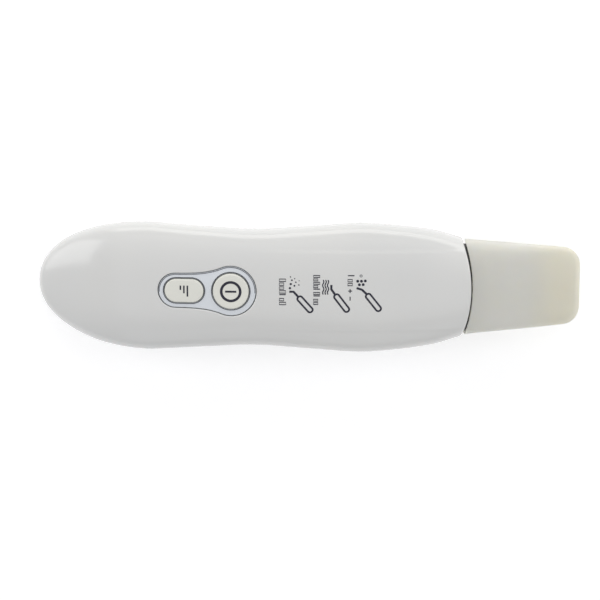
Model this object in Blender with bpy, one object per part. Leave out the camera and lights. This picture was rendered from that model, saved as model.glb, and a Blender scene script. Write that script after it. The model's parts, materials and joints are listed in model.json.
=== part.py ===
"""Ultrasonic skin scrubber with its blade cap on, lying on its back with the buttons up.

X runs from the round tail to the blade, Y across the handle and Z up through the front face.
The origin is on the surface that the device lies on, under the middle of its length.
Every size below is in millimetres, and the last step of each maker turns it into metres.
"""

import math

import bmesh
import bpy
from mathutils import Matrix, Vector
from mathutils.geometry import interpolate_bezier

MM = 0.001
GAP = 0.3  # clearance kept between neighbouring pieces
STACK_GAP = 0.2  # clearance between the flat faces of stacked pieces
ROUND = 24  # sides of a turned piece

# Body
TAIL_X = -98.0
WIDEST_X = -57.0  # where the rounded tail meets the handle
HEAD_X = 58.5  # the head's end on the centre line
HEAD_BOW = 54.0  # radius of the head's end, seen from above
WALL = 2.0
TAIL_ROUND = 2.1  # exponent of the tail's superellipse, in plan and in profile
SIDE_POWER = 2.8  # the section's exponent across
CROWN_POWER = 2.2  # the section's exponent up and down
KEEL_OVERRUN = 1.06  # how far the round belly would pass the flat it is trimmed to
NOSE_LIFT_X = 25.0  # where the belly starts to rise towards the head
NOSE_LIFT = 4.5
SOLE_Z = 0.2  # the shell's lowest height; the electrode stands this much proud of it
HALF_WIDTH = ((-57, 23.45), (-38, 22.15), (-19, 21.25), (0, 22.4), (18.8, 23.6),
              (33.5, 22.6), (41, 21.8), (50, 20.5), (58.5, 17.9))
PARTING = ((-98, 2.6), (-90, 3.8), (-75, 8.2), (-60, 11.3), (-40, 13.2), (-10, 14.7),
           (18, 15.4), (44, 14.7), (58.5, 13.6))
CROWN = ((-57, 7.4), (-28, 7.7), (18, 8.0), (58.5, 8.0))

# Buttons and the plate round them
POWER_X, POWER_R = -27.7, 6.45
MODE_X, MODE_LENGTH, MODE_WIDTH = -44.5, 14.0, 8.5
PLATE_R, PLATE_SMALL_R, PLATE_SMALL_X = 8.95, 6.15, -47.55
PLATE_SINK, PLATE_THICK = 0.5, 1.5
BUTTON_PROUD = 0.25
BUTTON_TRAVEL = 0.5
FLANGE_DROP, FLANGE_THICK, FLANGE_RIM = 2.4, 0.8, 1.2
NUB_R = 2.0

# Board and what it carries
BOARD_X = (-66.0, 2.0)
BOARD_HALF_WIDTH = 14.0
BOARD_Z = (10.4, 12.0)
PART_Z = BOARD_Z[1] + GAP
SWITCH_HEIGHT, SWITCH_SIDE = 3.4, 6.0
PLUNGER_R, PLUNGER_DEPTH, PLUNGER_PROUD = 1.75, 1.6, 0.5

# Transducer, on its own axis
STACK_Z = 12.0
STACK_R = 6.5
BACK_MASS_X = (6.0, 15.8)
PIEZO_THICK, ELECTRODE_THICK = 2.5, 0.3
PIEZO_BORE_R = 2.6
BOLT_R = 2.0
PADDLE_X = (43.0, 50.5)
PADDLE_HALF_WIDTH = 8.0
PADDLE_Z = (9.6, 12.6)
REAR_RING_X, REAR_RING_R = 9.0, 8.0
FRONT_RING_X, FRONT_RING_R = 33.4, 9.0
RING_WIDTH = 3.0

# Blade
BLADE_X = (43.5, 86.0)
BLADE_Z = 12.8
BLADE_THICK = 0.9
BLADE_HALF_WIDTH = 12.0
BEND_X, BEND_SLOPE = 66.0, math.tan(math.radians(7))
BLADE_SCREW_X, BLADE_SCREW_Y = 47.0, 4.2

# Cap and the collar that it pushes on to
CAP_TIP_X = 98.2
CAP_MOUTH_GAP = 0.6
CAP_WALL = 1.4
CAP_CORNER = 5.8
CAP_EDGE = 2.3
CAP_HALF_WIDTH = ((56.0, 17.6), (91.0, 14.3))
CAP_TOP = ((58.9, 19.3), (98.2, 14.4))
CAP_BOTTOM = ((58.9, 6.9), (98.2, 8.8))
COLLAR_X = (54.0, 55.8, 64.0)  # start of the flange, start of the neck, and the end
COLLAR_INSET = CAP_WALL + 0.35
FLANGE_INSET, FLANGE_NARROWER = 0.5, 3.0
CAP_TRAVEL = 45.0

# Battery, contacts and fasteners
BATTERY_LOW, BATTERY_HIGH = (-62.0, -13.0, 3.6), (-12.0, 13.0, 10.0)
ELECTRODE_HALF = (18.0, 7.0)
ELECTRODE_CENTRE_X = -12.0
ELECTRODE_Z = (0.0, 0.8)
CONTACT_X, CONTACT_Y = -83.0, 5.5
TAIL_SCREW = (-72.0, 8.5, 1.9)
HEAD_SCREW = (41.5, 14.2, 7.2)
SCREW_R, SCREW_HEAD_R = 1.1, 2.2
SCREW_LENGTH, SCREW_HEAD_THICK = 11.0, 1.5
BOSS_R = 3.2
RIB_SHORT = 0.4  # how far ribs and bosses stop short of the parting line
RIB_BITE = 0.8  # how far they reach into the wall
SMALL_ROUND = 12  # sides of a small hole or screw

WHITE = (0.80, 0.80, 0.78)
NAMED_MATERIALS = {
    "shell_white": (WHITE, 0.18, 0.0),
    "plate_blue": ((0.62, 0.67, 0.74), 0.25, 0.0),
    "button_white": ((0.76, 0.76, 0.71), 0.35, 0.0),
    "cap_ivory": ((0.74, 0.71, 0.60), 0.30, 0.0),
    "collar_grey": ((0.35, 0.36, 0.37), 0.60, 0.0),
    "steel": ((0.62, 0.62, 0.63), 0.25, 1.0),
    "aluminium": ((0.77, 0.78, 0.79), 0.35, 1.0),
    "copper": ((0.85, 0.55, 0.32), 0.30, 1.0),
    "ceramic": ((0.72, 0.68, 0.58), 0.55, 0.0),
    "rubber_black": ((0.03, 0.03, 0.03), 0.80, 0.0),
    "board_green": ((0.03, 0.20, 0.10), 0.45, 0.0),
    "black_plastic": ((0.02, 0.02, 0.02), 0.45, 0.0),
    "battery_wrap": ((0.10, 0.22, 0.45), 0.35, 0.0),
    "foam_grey": ((0.25, 0.25, 0.26), 0.90, 0.0),
    "led_clear": ((0.75, 0.85, 0.90), 0.15, 0.0),
    "wire_red": ((0.60, 0.03, 0.03), 0.45, 0.0),
    "wire_black": ((0.02, 0.02, 0.02), 0.45, 0.0),
}


# ---------------------------------------------------------------- helpers

def smooth_through(knots, x):
    """Value at x of the smooth curve through the knots, with slopes taken from their neighbours."""
    last = len(knots) - 1
    i = max(0, min(last - 1, sum(x >= knot[0] for knot in knots) - 1))
    (x0, y0), (x1, y1) = knots[i], knots[i + 1]
    before, after = knots[max(i - 1, 0)], knots[min(i + 2, last)]
    slope0 = (y1 - before[1]) / (x1 - before[0])
    slope1 = (after[1] - y0) / (after[0] - x0)
    span = x1 - x0
    t = (x - x0) / span
    return (y0 * (2 * t**3 - 3 * t**2 + 1) + slope0 * span * (t**3 - 2 * t**2 + t)
            + y1 * (3 * t**2 - 2 * t**3) + slope1 * span * (t**3 - t**2))


def signed_power(value, power):
    return math.copysign(abs(value) ** power, value)


def smooth_step(t):
    t = max(0.0, min(1.0, t))
    return t * t * (3 - 2 * t)


def material(name):
    found = bpy.data.materials.get(name)
    if found:
        return found
    colour, roughness, metallic = NAMED_MATERIALS[name]
    made = bpy.data.materials.new(name)
    made.use_nodes = True
    shader = made.node_tree.nodes["Principled BSDF"]
    shader.inputs["Base Color"].default_value = (*colour, 1.0)
    shader.inputs["Roughness"].default_value = roughness
    shader.inputs["Metallic"].default_value = metallic
    made.diffuse_color = (*colour, 1.0)
    return made


def finish_mesh(name, bm, finish):
    """Turns a bmesh in millimetres into a named object in metres."""
    bmesh.ops.recalc_face_normals(bm, faces=bm.faces)
    bmesh.ops.scale(bm, vec=(MM, MM, MM), verts=bm.verts)
    mesh = bpy.data.meshes.new(name)
    bm.to_mesh(mesh)
    bm.free()
    mesh.shade_smooth()
    mesh.set_sharp_from_angle(angle=math.radians(35))
    mesh.materials.append(material(finish))
    made = bpy.data.objects.new(name, mesh)
    bpy.context.scene.collection.objects.link(made)
    return made


def block(name, low, high, finish, bevel=0.0):
    """A box between two corners, its edges bevelled if asked."""
    bm = bmesh.new()
    size = [b - a for a, b in zip(low, high)]
    middle = [(a + b) / 2 for a, b in zip(low, high)]
    bmesh.ops.create_cube(bm, size=1.0)
    bmesh.ops.scale(bm, vec=size, verts=bm.verts)
    bmesh.ops.translate(bm, vec=middle, verts=bm.verts)
    if bevel:
        bmesh.ops.bevel(bm, geom=bm.edges[:], offset=bevel, segments=1, affect="EDGES")
    return finish_mesh(name, bm, finish)


def prism(name, outline, low_z, high_z, finish):
    """A flat outline extruded straight up."""
    bm = bmesh.new()
    face = bm.faces.new([bm.verts.new((x, y, low_z)) for x, y in outline])
    made = bmesh.ops.extrude_face_region(bm, geom=[face])
    top = [v for v in made["geom"] if isinstance(v, bmesh.types.BMVert)]
    bmesh.ops.translate(bm, vec=(0, 0, high_z - low_z), verts=top)
    return finish_mesh(name, bm, finish)


def turned(name, profile, place, finish, along=(0, 0, 1), sides=ROUND):
    """A profile of (distance along, radius) spun round an axis. Radius 0 closes an end."""
    along = Vector(along)
    out = Vector((0, 1, 0)) if abs(along.y) < 0.5 else Vector((0, 0, 1))
    place = Vector(place)
    bm = bmesh.new()
    verts = [bm.verts.new(place + along * a + out * r) for a, r in profile]
    ends_on_axis = profile[0][1] == 0 and profile[-1][1] == 0
    pairs = list(zip(verts, verts[1:]))
    if not ends_on_axis:
        pairs.append((verts[-1], verts[0]))
    edges = [bm.edges.new(pair) for pair in pairs]
    bmesh.ops.spin(bm, geom=verts + edges, cent=place, axis=along, angle=math.tau, steps=sides)
    bmesh.ops.remove_doubles(bm, verts=bm.verts, dist=1e-4)
    return finish_mesh(name, bm, finish)


def tube(name, points, radius, finish, per_span=3):
    """A wire through a few route points, as a round tube on a smooth line."""
    route = []
    for i in range(len(points) - 1):
        before, after = points[max(i - 1, 0)], points[min(i + 2, len(points) - 1)]
        start, end = Vector(points[i]), Vector(points[i + 1])
        leave = start + (end - Vector(before)) / 6
        arrive = end - (Vector(after) - start) / 6
        span = interpolate_bezier(start, leave, arrive, end, per_span + 1)
        route += span[(1 if i else 0):]
    curve = bpy.data.curves.new(name, "CURVE")
    curve.dimensions = "3D"
    curve.bevel_depth = radius * MM
    curve.bevel_resolution = 1
    curve.use_fill_caps = True
    spline = curve.splines.new("POLY")
    spline.points.add(len(route) - 1)
    for point, place in zip(spline.points, route):
        point.co = (*(place * MM), 1.0)
    curve.materials.append(material(finish))
    made = bpy.data.objects.new(name, curve)
    bpy.context.scene.collection.objects.link(made)
    return made


def boolean(target, tool, operation):
    """Adds a Boolean to the target and turns the tool into a wire guide."""
    made = target.modifiers.new(f"{operation.lower()} {tool.name}", "BOOLEAN")
    made.operation = operation
    made.solver = "EXACT"
    made.object = tool
    tool.hide_render = True
    tool.display_type = "WIRE"


def cut(target, *tools):
    for tool in tools:
        boolean(target, tool, "DIFFERENCE")


def join(target, *tools):
    for tool in tools:
        boolean(target, tool, "UNION")


def centred(name, mesh_object, centre):
    """Moves an object's origin to a point without moving its shape."""
    place = Vector(centre) * MM
    mesh_object.data.transform(Matrix.Translation(-place))
    mesh_object.location = place
    mesh_object.name = name
    return mesh_object


# ---------------------------------------------------------------- body surface

def tail_share(x, inset):
    """1 along the handle, falling to 0 at the tip of the tail."""
    if x >= WIDEST_X:
        return 1.0
    back = min(1.0, (WIDEST_X - x) / (WIDEST_X - TAIL_X - inset))
    return (1 - back**TAIL_ROUND) ** (1 / TAIL_ROUND)


def half_width(x, inset=0.0):
    return (smooth_through(HALF_WIDTH, max(x, WIDEST_X)) - inset) * tail_share(x, inset)


def parting_z(x):
    return smooth_through(PARTING, x)


def crown(x, inset=0.0):
    """Height of the front face over the parting line."""
    return (smooth_through(CROWN, max(x, WIDEST_X)) - inset) * tail_share(x, inset)


def keel_z(x):
    """Height of the belly's lowest line."""
    lift = max(0.0, (x - NOSE_LIFT_X) / (HEAD_X - NOSE_LIFT_X)) ** 1.6
    return SOLE_Z + (NOSE_LIFT - SOLE_Z) * lift


def belly(x, inset=0.0):
    """Depth of the back under the parting line."""
    return ((parting_z(x) - keel_z(x)) * KEEL_OVERRUN - inset) * tail_share(x, inset)


def end_bow(x):
    """How strongly a section bends back at its sides: not at all on the handle, most at the head."""
    return smooth_step((x - 30) / (HEAD_X - 30)) / (2 * HEAD_BOW)


def skin_z(x, y, inset, side):
    """Height of the front (side 1) or the back (-1) at a point of the plan."""
    share = min(1.0, abs(y / half_width(x, inset)))
    depth = crown(x, inset) if side > 0 else belly(x, inset)
    z = parting_z(x) + side * (depth * (1 - share**SIDE_POWER) ** (1 / CROWN_POWER) + GAP / 2)
    return z if side > 0 else max(z, keel_z(x) + inset)


def front_z(x, y, inset=0.0):
    return skin_z(x, y, inset, 1)


def hull_point(x, turn, inset, side):
    """A point of the outside (inset 0) or of the inside, over the front (side 1) or the back (-1).

    turn runs from 0 at +Y to pi at -Y.
    """
    depth = crown(x, inset) if side > 0 else belly(x, inset)
    y = half_width(x, inset) * signed_power(math.cos(turn), 2 / SIDE_POWER)
    rise = depth * abs(math.sin(turn)) ** (2 / CROWN_POWER)
    z = parting_z(x) + side * (rise + GAP / 2)
    if side < 0:
        z = max(z, min(keel_z(x) + inset, parting_z(x) - GAP / 2))
    return Vector((x - end_bow(x) * y * y, y, z))


def stations(start, end, count):
    """Places along X, crowded towards the start, where the tail curves most."""
    shares = [i / count for i in range(1, count + 1)]
    return [start + (end - start) * t * t * (1.7 - 0.7 * t) for t in shares]


TURN_STEPS = 16
SKIN_STATIONS = 22


def skin(bm, inset, side):
    """One skin of a half shell, with its upright end at the head. Returns its rim, from the tail round."""
    tip_x = TAIL_X + inset
    xs = stations(tip_x, HEAD_X - inset * 1.1, SKIN_STATIONS)
    tip = bm.verts.new((tip_x, 0, parting_z(tip_x) + side * GAP / 2))
    turns = [math.pi * j / TURN_STEPS for j in range(TURN_STEPS + 1)]
    rings = [[bm.verts.new(hull_point(x, turn, inset, side)) for turn in turns] for x in xs]
    for a, b in zip(rings[0], rings[0][1:]):
        bm.faces.new((tip, a, b))
    for here, there in zip(rings, rings[1:]):
        for j in range(TURN_STEPS):
            bm.faces.new((here[j], here[j + 1], there[j + 1], there[j]))
    end = rings[-1]
    floor_z = parting_z(xs[-1]) + side * GAP / 2
    feet = [bm.verts.new((v.co.x, v.co.y, floor_z)) for v in end[1:-1]]
    bm.faces.new((end[0], end[1], feet[0]))
    bm.faces.new((end[-1], end[-2], feet[-1]))
    for j in range(len(feet) - 1):
        bm.faces.new((end[j + 1], end[j + 2], feet[j + 1], feet[j]))
    return [tip] + [ring[0] for ring in rings] + feet + [ring[-1] for ring in reversed(rings)]


def half_shell(name, side):
    bm = bmesh.new()
    outer = skin(bm, 0.0, side)
    inner = skin(bm, WALL, side)
    for i in range(len(outer)):
        k = (i + 1) % len(outer)
        bm.faces.new((outer[i], outer[k], inner[k], inner[i]))
    return finish_mesh(name, bm, "shell_white")


def solid_slice(name, side, low_x, high_x, inset):
    """A solid slice of the hull, from just short of the parting line to the skin at that inset."""
    bm = bmesh.new()
    turns = [math.pi * j / TURN_STEPS for j in range(TURN_STEPS + 1)]
    loops = []
    for x in (low_x, high_x):
        points = [hull_point(x, turn, inset, side) for turn in turns]
        rim = parting_z(x) + side * (GAP / 2 + RIB_SHORT)
        heights = [max(p.z, rim) if side > 0 else min(p.z, rim) for p in points]
        loops.append([bm.verts.new((x, p.y, z)) for p, z in zip(points, heights)])
    bm.faces.new(loops[0])
    bm.faces.new(loops[1])
    for i in range(TURN_STEPS + 1):
        k = (i + 1) % (TURN_STEPS + 1)
        bm.faces.new((loops[0][i], loops[0][k], loops[1][k], loops[1][i]))
    return finish_mesh(name, bm, "shell_white")


def saddle(side, ring_x, ring_r):
    """The rib of a shell that holds one of the transducer's rubber rings."""
    which = "front" if side > 0 else "back"
    rib = solid_slice(f"guide_{which}_saddle_{ring_x:.0f}", side, ring_x + 0.4,
                      ring_x + RING_WIDTH - 0.4, WALL - RIB_BITE)
    seat = turned(f"guide_{which}_seat_{ring_x:.0f}",
                  [(-1, 0), (-1, ring_r + GAP), (RING_WIDTH + 1, ring_r + GAP), (RING_WIDTH + 1, 0)],
                  (ring_x, 0, STACK_Z), "shell_white", along=(1, 0, 0))
    cut(rib, seat)
    return rib


def face_slab(name, low_x, high_x, half_y, top, bottom, finish, steps=(14, 8)):
    """A slab whose top and bottom follow the front face, at the given heights over it."""
    bm = bmesh.new()
    across, along = steps[1], steps[0]
    layers = []
    for offset in (bottom, top):
        rows = []
        for i in range(along + 1):
            x = low_x + (high_x - low_x) * i / along
            ys = [half_y * (2 * j / across - 1) for j in range(across + 1)]
            rows.append([bm.verts.new((x, y, front_z(x, y) + offset)) for y in ys])
        for here, there in zip(rows, rows[1:]):
            for j in range(across):
                bm.faces.new((here[j], here[j + 1], there[j + 1], there[j]))
        layers.append(rows)
    low, high = layers
    for a, b in ((low[0], high[0]), (low[-1], high[-1]),
                 ([r[0] for r in low], [r[0] for r in high]),
                 ([r[-1] for r in low], [r[-1] for r in high])):
        for j in range(len(a) - 1):
            bm.faces.new((a[j], a[j + 1], b[j + 1], b[j]))
    return finish_mesh(name, bm, finish)


# ---------------------------------------------------------------- outlines

def arc(centre_x, radius, start, end, count):
    """Points of an arc on the centre line, with angles in degrees."""
    angles = [math.radians(start + (end - start) * i / count) for i in range(count + 1)]
    return [(centre_x + radius * math.cos(a), radius * math.sin(a)) for a in angles]


def circle(centre_x, radius, sides=32):
    return arc(centre_x, radius, 0, 360, sides)[:-1]


def stadium(centre_x, length, width, per_end=10):
    reach = (length - width) / 2
    return (arc(centre_x + reach, width / 2, -90, 90, per_end)
            + arc(centre_x - reach, width / 2, 90, 270, per_end))


def keyhole(grow=0.0):
    """Outline of the plate round both buttons: two arcs joined by S-shaped flanks."""
    big, small = PLATE_R + grow, PLATE_SMALL_R + grow
    leave = 112.0
    large = arc(POWER_X, big, -leave, leave, 20)
    start = Vector((*large[-1], 0))
    way = Vector((-math.sin(math.radians(leave)), math.cos(math.radians(leave)), 0))
    end = Vector((PLATE_SMALL_X, small, 0))
    flank = interpolate_bezier(start, start + way * 5, end + Vector((7, 0, 0)), end, 9)[1:-1]
    upper = [(p.x, p.y) for p in flank]
    lower = [(x, -y) for x, y in reversed(upper)]
    return large + upper + arc(PLATE_SMALL_X, small, 90, 270, 12) + lower


# ---------------------------------------------------------------- cap, collar and blade

def straight(ends, x):
    (x0, y0), (x1, y1) = ends
    return y0 + (y1 - y0) * (x - x0) / (x1 - x0)


def corner_drop(x, end_x, radius):
    """How far a rounded corner has pulled its side in at x."""
    into = max(0.0, x - (end_x - radius))
    return radius - math.sqrt(max(0.0, radius * radius - into * into))


def cap_point(x, turn, inset, narrower=0.0):
    """A point round the cap's section at x, with turn in radians from +Y."""
    end_x = CAP_TIP_X - inset * 1.2
    half = straight(CAP_HALF_WIDTH, x) - inset - corner_drop(x, end_x, CAP_CORNER - inset * 0.5)
    half -= narrower
    pinch = inset + corner_drop(x, end_x, max(CAP_EDGE - inset, 0.8))
    top, bottom = straight(CAP_TOP, x) - pinch, straight(CAP_BOTTOM, x) + pinch
    y = half * signed_power(math.cos(turn), 2 / 4.5)
    z = (top + bottom) / 2 + (top - bottom) / 2 * signed_power(math.sin(turn), 2 / 3.4)
    bow = smooth_step((84 - x) / (84 - HEAD_X)) / (2 * HEAD_BOW)
    return Vector((x - bow * y * y, y, z))


CAP_TURNS = 28


def cap_ring(bm, x, inset, narrower=0.0):
    turns = [math.tau * j / CAP_TURNS for j in range(CAP_TURNS)]
    return [bm.verts.new(cap_point(x, turn, inset, narrower)) for turn in turns]


def bridge(bm, here, there):
    for j in range(len(here)):
        k = (j + 1) % len(here)
        bm.faces.new((here[j], here[k], there[k], there[j]))


def blade_cap():
    bm = bmesh.new()
    mouth_x = HEAD_X + CAP_MOUTH_GAP
    outer_xs = [mouth_x, 66, 75, 84, 90, 93.2, 95.2, 96.7, 97.7, CAP_TIP_X]
    inner_end = CAP_TIP_X - CAP_WALL * 1.2
    inner_xs = [mouth_x, 66, 75, 84, 90, 93.0, 94.8, 95.9, inner_end]
    outer = [cap_ring(bm, x, 0.0) for x in outer_xs]
    inner = [cap_ring(bm, x, CAP_WALL) for x in inner_xs]
    for rings in (outer, inner):
        for here, there in zip(rings, rings[1:]):
            bridge(bm, here, there)
        bm.faces.new(rings[-1])
    bridge(bm, outer[0], inner[0])
    return centred("blade_cap", finish_mesh("blade_cap", bm, "cap_ivory"), (mouth_x, 0, STACK_Z))


def cap_plug(name, low_x, high_x, inset, finish):
    """A solid with the cap's own section, at that inset."""
    bm = bmesh.new()
    rings = [cap_ring(bm, x, inset) for x in (low_x, high_x)]
    bridge(bm, *rings)
    bm.faces.new(rings[0])
    bm.faces.new(rings[1])
    return finish_mesh(name, bm, finish)


def blade_half_width(x):
    return 8.0 + (BLADE_HALF_WIDTH - 8.0) * smooth_step((x - 50) / 5)


def blade_drop(x):
    return BEND_SLOPE * max(0.0, x - BEND_X)


def blade():
    bm = bmesh.new()
    corner = 1.2
    tip_x = BLADE_X[1]
    xs = [BLADE_X[0], 50, 51.5, 53, 55, BEND_X, 70, tip_x - corner, tip_x]
    rings = []
    for x in xs:
        half = blade_half_width(x) - (corner if x == tip_x else 0)
        low = BLADE_Z - blade_drop(x)
        corners = ((-half, low), (half, low), (half, low + BLADE_THICK), (-half, low + BLADE_THICK))
        rings.append([bm.verts.new((x, y, z)) for y, z in corners])
    for here, there in zip(rings, rings[1:]):
        bridge(bm, here, there)
    bm.faces.new(rings[0])
    bm.faces.new(rings[-1])
    made = finish_mesh("blade", bm, "steel")
    for y in (BLADE_SCREW_Y, -BLADE_SCREW_Y):
        cut(made, rod("guide_blade_hole", (BLADE_SCREW_X, y, 5), 1.3, 20, sides=SMALL_ROUND))
    return made


def rod(name, place, radius, length, along=(0, 0, 1), sides=ROUND):
    """A plain cylinder used as a tool."""
    return turned(name, [(0, 0), (0, radius), (length, radius), (length, 0)], place,
                  "shell_white", along=along, sides=sides)


def nose_collar():
    """The plug that closes the head, with a taller flange inside and a slot for the blade."""
    bm = bmesh.new()
    flange_x, neck_x, end_x = COLLAR_X
    rings = [cap_ring(bm, flange_x, FLANGE_INSET, FLANGE_NARROWER),
             cap_ring(bm, neck_x, FLANGE_INSET, FLANGE_NARROWER),
             cap_ring(bm, neck_x, COLLAR_INSET), cap_ring(bm, end_x - 0.5, COLLAR_INSET),
             cap_ring(bm, end_x, COLLAR_INSET + 0.5)]
    for here, there in zip(rings, rings[1:]):
        bridge(bm, here, there)
    bm.faces.new(rings[0])
    bm.faces.new(rings[-1])
    made = finish_mesh("nose_collar", bm, "collar_grey")
    slot = block("guide_blade_slot", (40, -BLADE_HALF_WIDTH - 0.4, BLADE_Z - 0.5),
                 (70, BLADE_HALF_WIDTH + 0.4, BLADE_Z + BLADE_THICK + 0.5), "collar_grey")
    cut(made, slot)
    return made


def nose_opening(name):
    """What the shells lose where the collar passes through them."""
    return cap_plug(name, 52.4, 66.0, COLLAR_INSET - GAP, "shell_white")


# ---------------------------------------------------------------- shells

def screw_places():
    """Place of each housing screw, with the height of its head's underside."""
    for x, y, head_z in (TAIL_SCREW, HEAD_SCREW):
        yield x, y, head_z
        yield x, -y, head_z


def boss(side, x, y):
    """A round post from just short of the parting line into the wall, whose end follows the skin."""
    which = "front" if side > 0 else "back"
    rim_z = parting_z(x) + side * (GAP / 2 + RIB_SHORT)
    inset = WALL - RIB_BITE
    bm = bmesh.new()
    turns = [math.tau * i / SMALL_ROUND for i in range(SMALL_ROUND)]
    plan = [(x + BOSS_R * math.cos(a), y + BOSS_R * math.sin(a)) for a in turns]
    rim = [bm.verts.new((px, py, rim_z)) for px, py in plan]
    foot = [bm.verts.new((px, py, skin_z(px, py, inset, side))) for px, py in plan]
    middle = bm.verts.new((x, y, skin_z(x, y, inset, side)))
    bm.faces.new(rim)
    bridge(bm, rim, foot)
    for i in range(SMALL_ROUND):
        bm.faces.new((foot[i], foot[(i + 1) % SMALL_ROUND], middle))
    return finish_mesh(f"guide_{which}_boss", bm, "shell_white")


def front_shell():
    made = half_shell("front_shell", 1)
    window = prism("guide_plate_window", keyhole(GAP), 10, 30, "shell_white")
    for x, y, head_z in screw_places():
        join(made, boss(1, x, y))
    rear_saddle = saddle(1, REAR_RING_X, REAR_RING_R)
    lead_way = block("guide_lead_way", (REAR_RING_X - 1, -5, 18), (REAR_RING_X + 4, 5, 21.2), "shell_white")
    cut(rear_saddle, lead_way)
    join(made, rear_saddle, saddle(1, FRONT_RING_X, FRONT_RING_R))
    cut(made, window, nose_opening("guide_front_nose"))
    for x, y, head_z in screw_places():
        cut(made, rod("guide_pilot", (x, y, 0), SCREW_R + GAP, head_z + SCREW_LENGTH + 0.6,
                      sides=SMALL_ROUND))
    return made


def back_shell():
    made = half_shell("back_shell", -1)
    for x, y, head_z in screw_places():
        join(made, boss(-1, x, y))
    join(made, saddle(-1, REAR_RING_X, REAR_RING_R), saddle(-1, FRONT_RING_X, FRONT_RING_R))
    cut(made, nose_opening("guide_back_nose"))
    for x, y, head_z in screw_places():
        cut(made, stepped_hole("guide_screw_hole", x, y, SCREW_HEAD_R + GAP,
                               head_z + SCREW_HEAD_THICK + GAP, SCREW_R + GAP))
    pocket = electrode_plate("guide_electrode_pocket", GAP, -1, ELECTRODE_Z[1] + GAP)
    cut(made, pocket, rod("guide_stud_way", (ELECTRODE_CENTRE_X + 15, 0, -1), 1.3 + GAP, 10,
                          sides=SMALL_ROUND))
    for y in (CONTACT_Y, -CONTACT_Y):
        cut(made, stepped_hole("guide_contact_hole", CONTACT_X, y, 2.1 + GAP, contact_z() + 0.8 + GAP,
                               1.2 + GAP))
    return made


def stepped_hole(name, x, y, wide_r, step_z, narrow_r):
    """A tool for a hole from below that is wide up to step_z and narrow from there on."""
    profile = [(-3, 0), (-3, wide_r), (step_z, wide_r), (step_z, narrow_r), (25, narrow_r), (25, 0)]
    return turned(name, profile, (x, y, 0), "shell_white", sides=SMALL_ROUND)


def electrode_plate(name, grow, low_z, high_z):
    """The plate's outline is a rectangle with half-round ends."""
    length, width = 2 * (ELECTRODE_HALF[0] + grow), 2 * (ELECTRODE_HALF[1] + grow)
    return prism(name, stadium(ELECTRODE_CENTRE_X, length, width, 8), low_z, high_z, "steel")


def hand_electrode():
    made = electrode_plate("hand_electrode", 0, *ELECTRODE_Z)
    join(made, rod("guide_electrode_stud", (ELECTRODE_CENTRE_X + 15, 0, 0.5), 1.3, 2.2, sides=16))
    return made


def contact_z():
    """Height of the tail's underside where the charging contacts sit."""
    bottom = parting_z(CONTACT_X) - belly(CONTACT_X)
    return max(bottom, 0.2)


def charge_contact(name, y):
    low = contact_z()
    profile = [(low, 0), (low, 1.9), (low + 0.2, 2.1), (low + 0.8, 2.1), (low + 0.8, 1.2),
               (low + 3.0, 1.2), (low + 3.0, 0)]
    return turned(name, profile, (CONTACT_X, y, 0), "steel", sides=16)


def housing_screw(name, x, y, head):
    top = head + SCREW_LENGTH
    step = head + SCREW_HEAD_THICK
    profile = [(head, 0), (head, SCREW_HEAD_R - 0.3), (head + 0.4, SCREW_HEAD_R), (step, SCREW_HEAD_R),
               (step, SCREW_R), (top - 1.2, SCREW_R), (top, 0.3), (top, 0)]
    made = turned(name, profile, (x, y, 0), "steel", sides=SMALL_ROUND)
    hexagon = [(head - 1, 0), (head - 1, 1.1), (head + 0.8, 1.1), (head + 0.8, 0)]
    cut(made, turned(f"guide_{name}_recess", hexagon, (x, y, 0), "steel", sides=6))
    return made


# ---------------------------------------------------------------- buttons

def button_plate():
    made = face_slab("button_plate", -57, -16, 11, -PLATE_SINK, -PLATE_SINK - PLATE_THICK, "plate_blue")
    boolean(made, prism("guide_plate_outline", keyhole(), 5, 35, "plate_blue"), "INTERSECT")
    cut(made, prism("guide_power_hole", circle(POWER_X, POWER_R + GAP), 5, 35, "plate_blue"),
        prism("guide_mode_hole", stadium(MODE_X, MODE_LENGTH + 2 * GAP, MODE_WIDTH + 2 * GAP),
              5, 35, "plate_blue"))
    return made


def button(name, centre_x, outline, flange):
    """A button that follows the front face, with a flange under the plate and a nub over its switch."""
    nub_low = PART_Z + SWITCH_HEIGHT + PLUNGER_PROUD + GAP
    nub_top = front_z(centre_x, 0) - FLANGE_DROP - 0.2
    made = face_piece(name, centre_x, outline, BUTTON_PROUD, -FLANGE_DROP - 0.4)
    rim = face_piece(f"guide_{name}_flange", centre_x, flange, -FLANGE_DROP, -FLANGE_DROP - FLANGE_THICK)
    nub = rod(f"guide_{name}_nub", (centre_x, 0, nub_low), NUB_R, nub_top - nub_low, sides=SMALL_ROUND)
    join(made, rim, nub)
    return centred(name, made, (centre_x, 0, front_z(centre_x, 0)))


def face_piece(name, centre_x, outline, top, bottom):
    """A piece of that outline whose top and bottom follow the front face."""
    reach = max(abs(x - centre_x) for x, _ in outline) + 1
    made = face_slab(name, centre_x - reach, centre_x + reach, reach, top, bottom, "button_white",
                     steps=(6, 6))
    boolean(made, prism(f"{name}_outline", outline, 5, 35, "button_white"), "INTERSECT")
    made.modifiers[0].object.name = f"guide_{made.modifiers[0].object.name}"
    return made


def power_button():
    return button("power_button", POWER_X, circle(POWER_X, POWER_R),
                  circle(POWER_X, POWER_R + FLANGE_RIM, ROUND))


def mode_button():
    return button("mode_button", MODE_X, stadium(MODE_X, MODE_LENGTH, MODE_WIDTH),
                  stadium(MODE_X, MODE_LENGTH + 2 * FLANGE_RIM * 0.6, MODE_WIDTH + 2 * FLANGE_RIM, 6))


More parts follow.
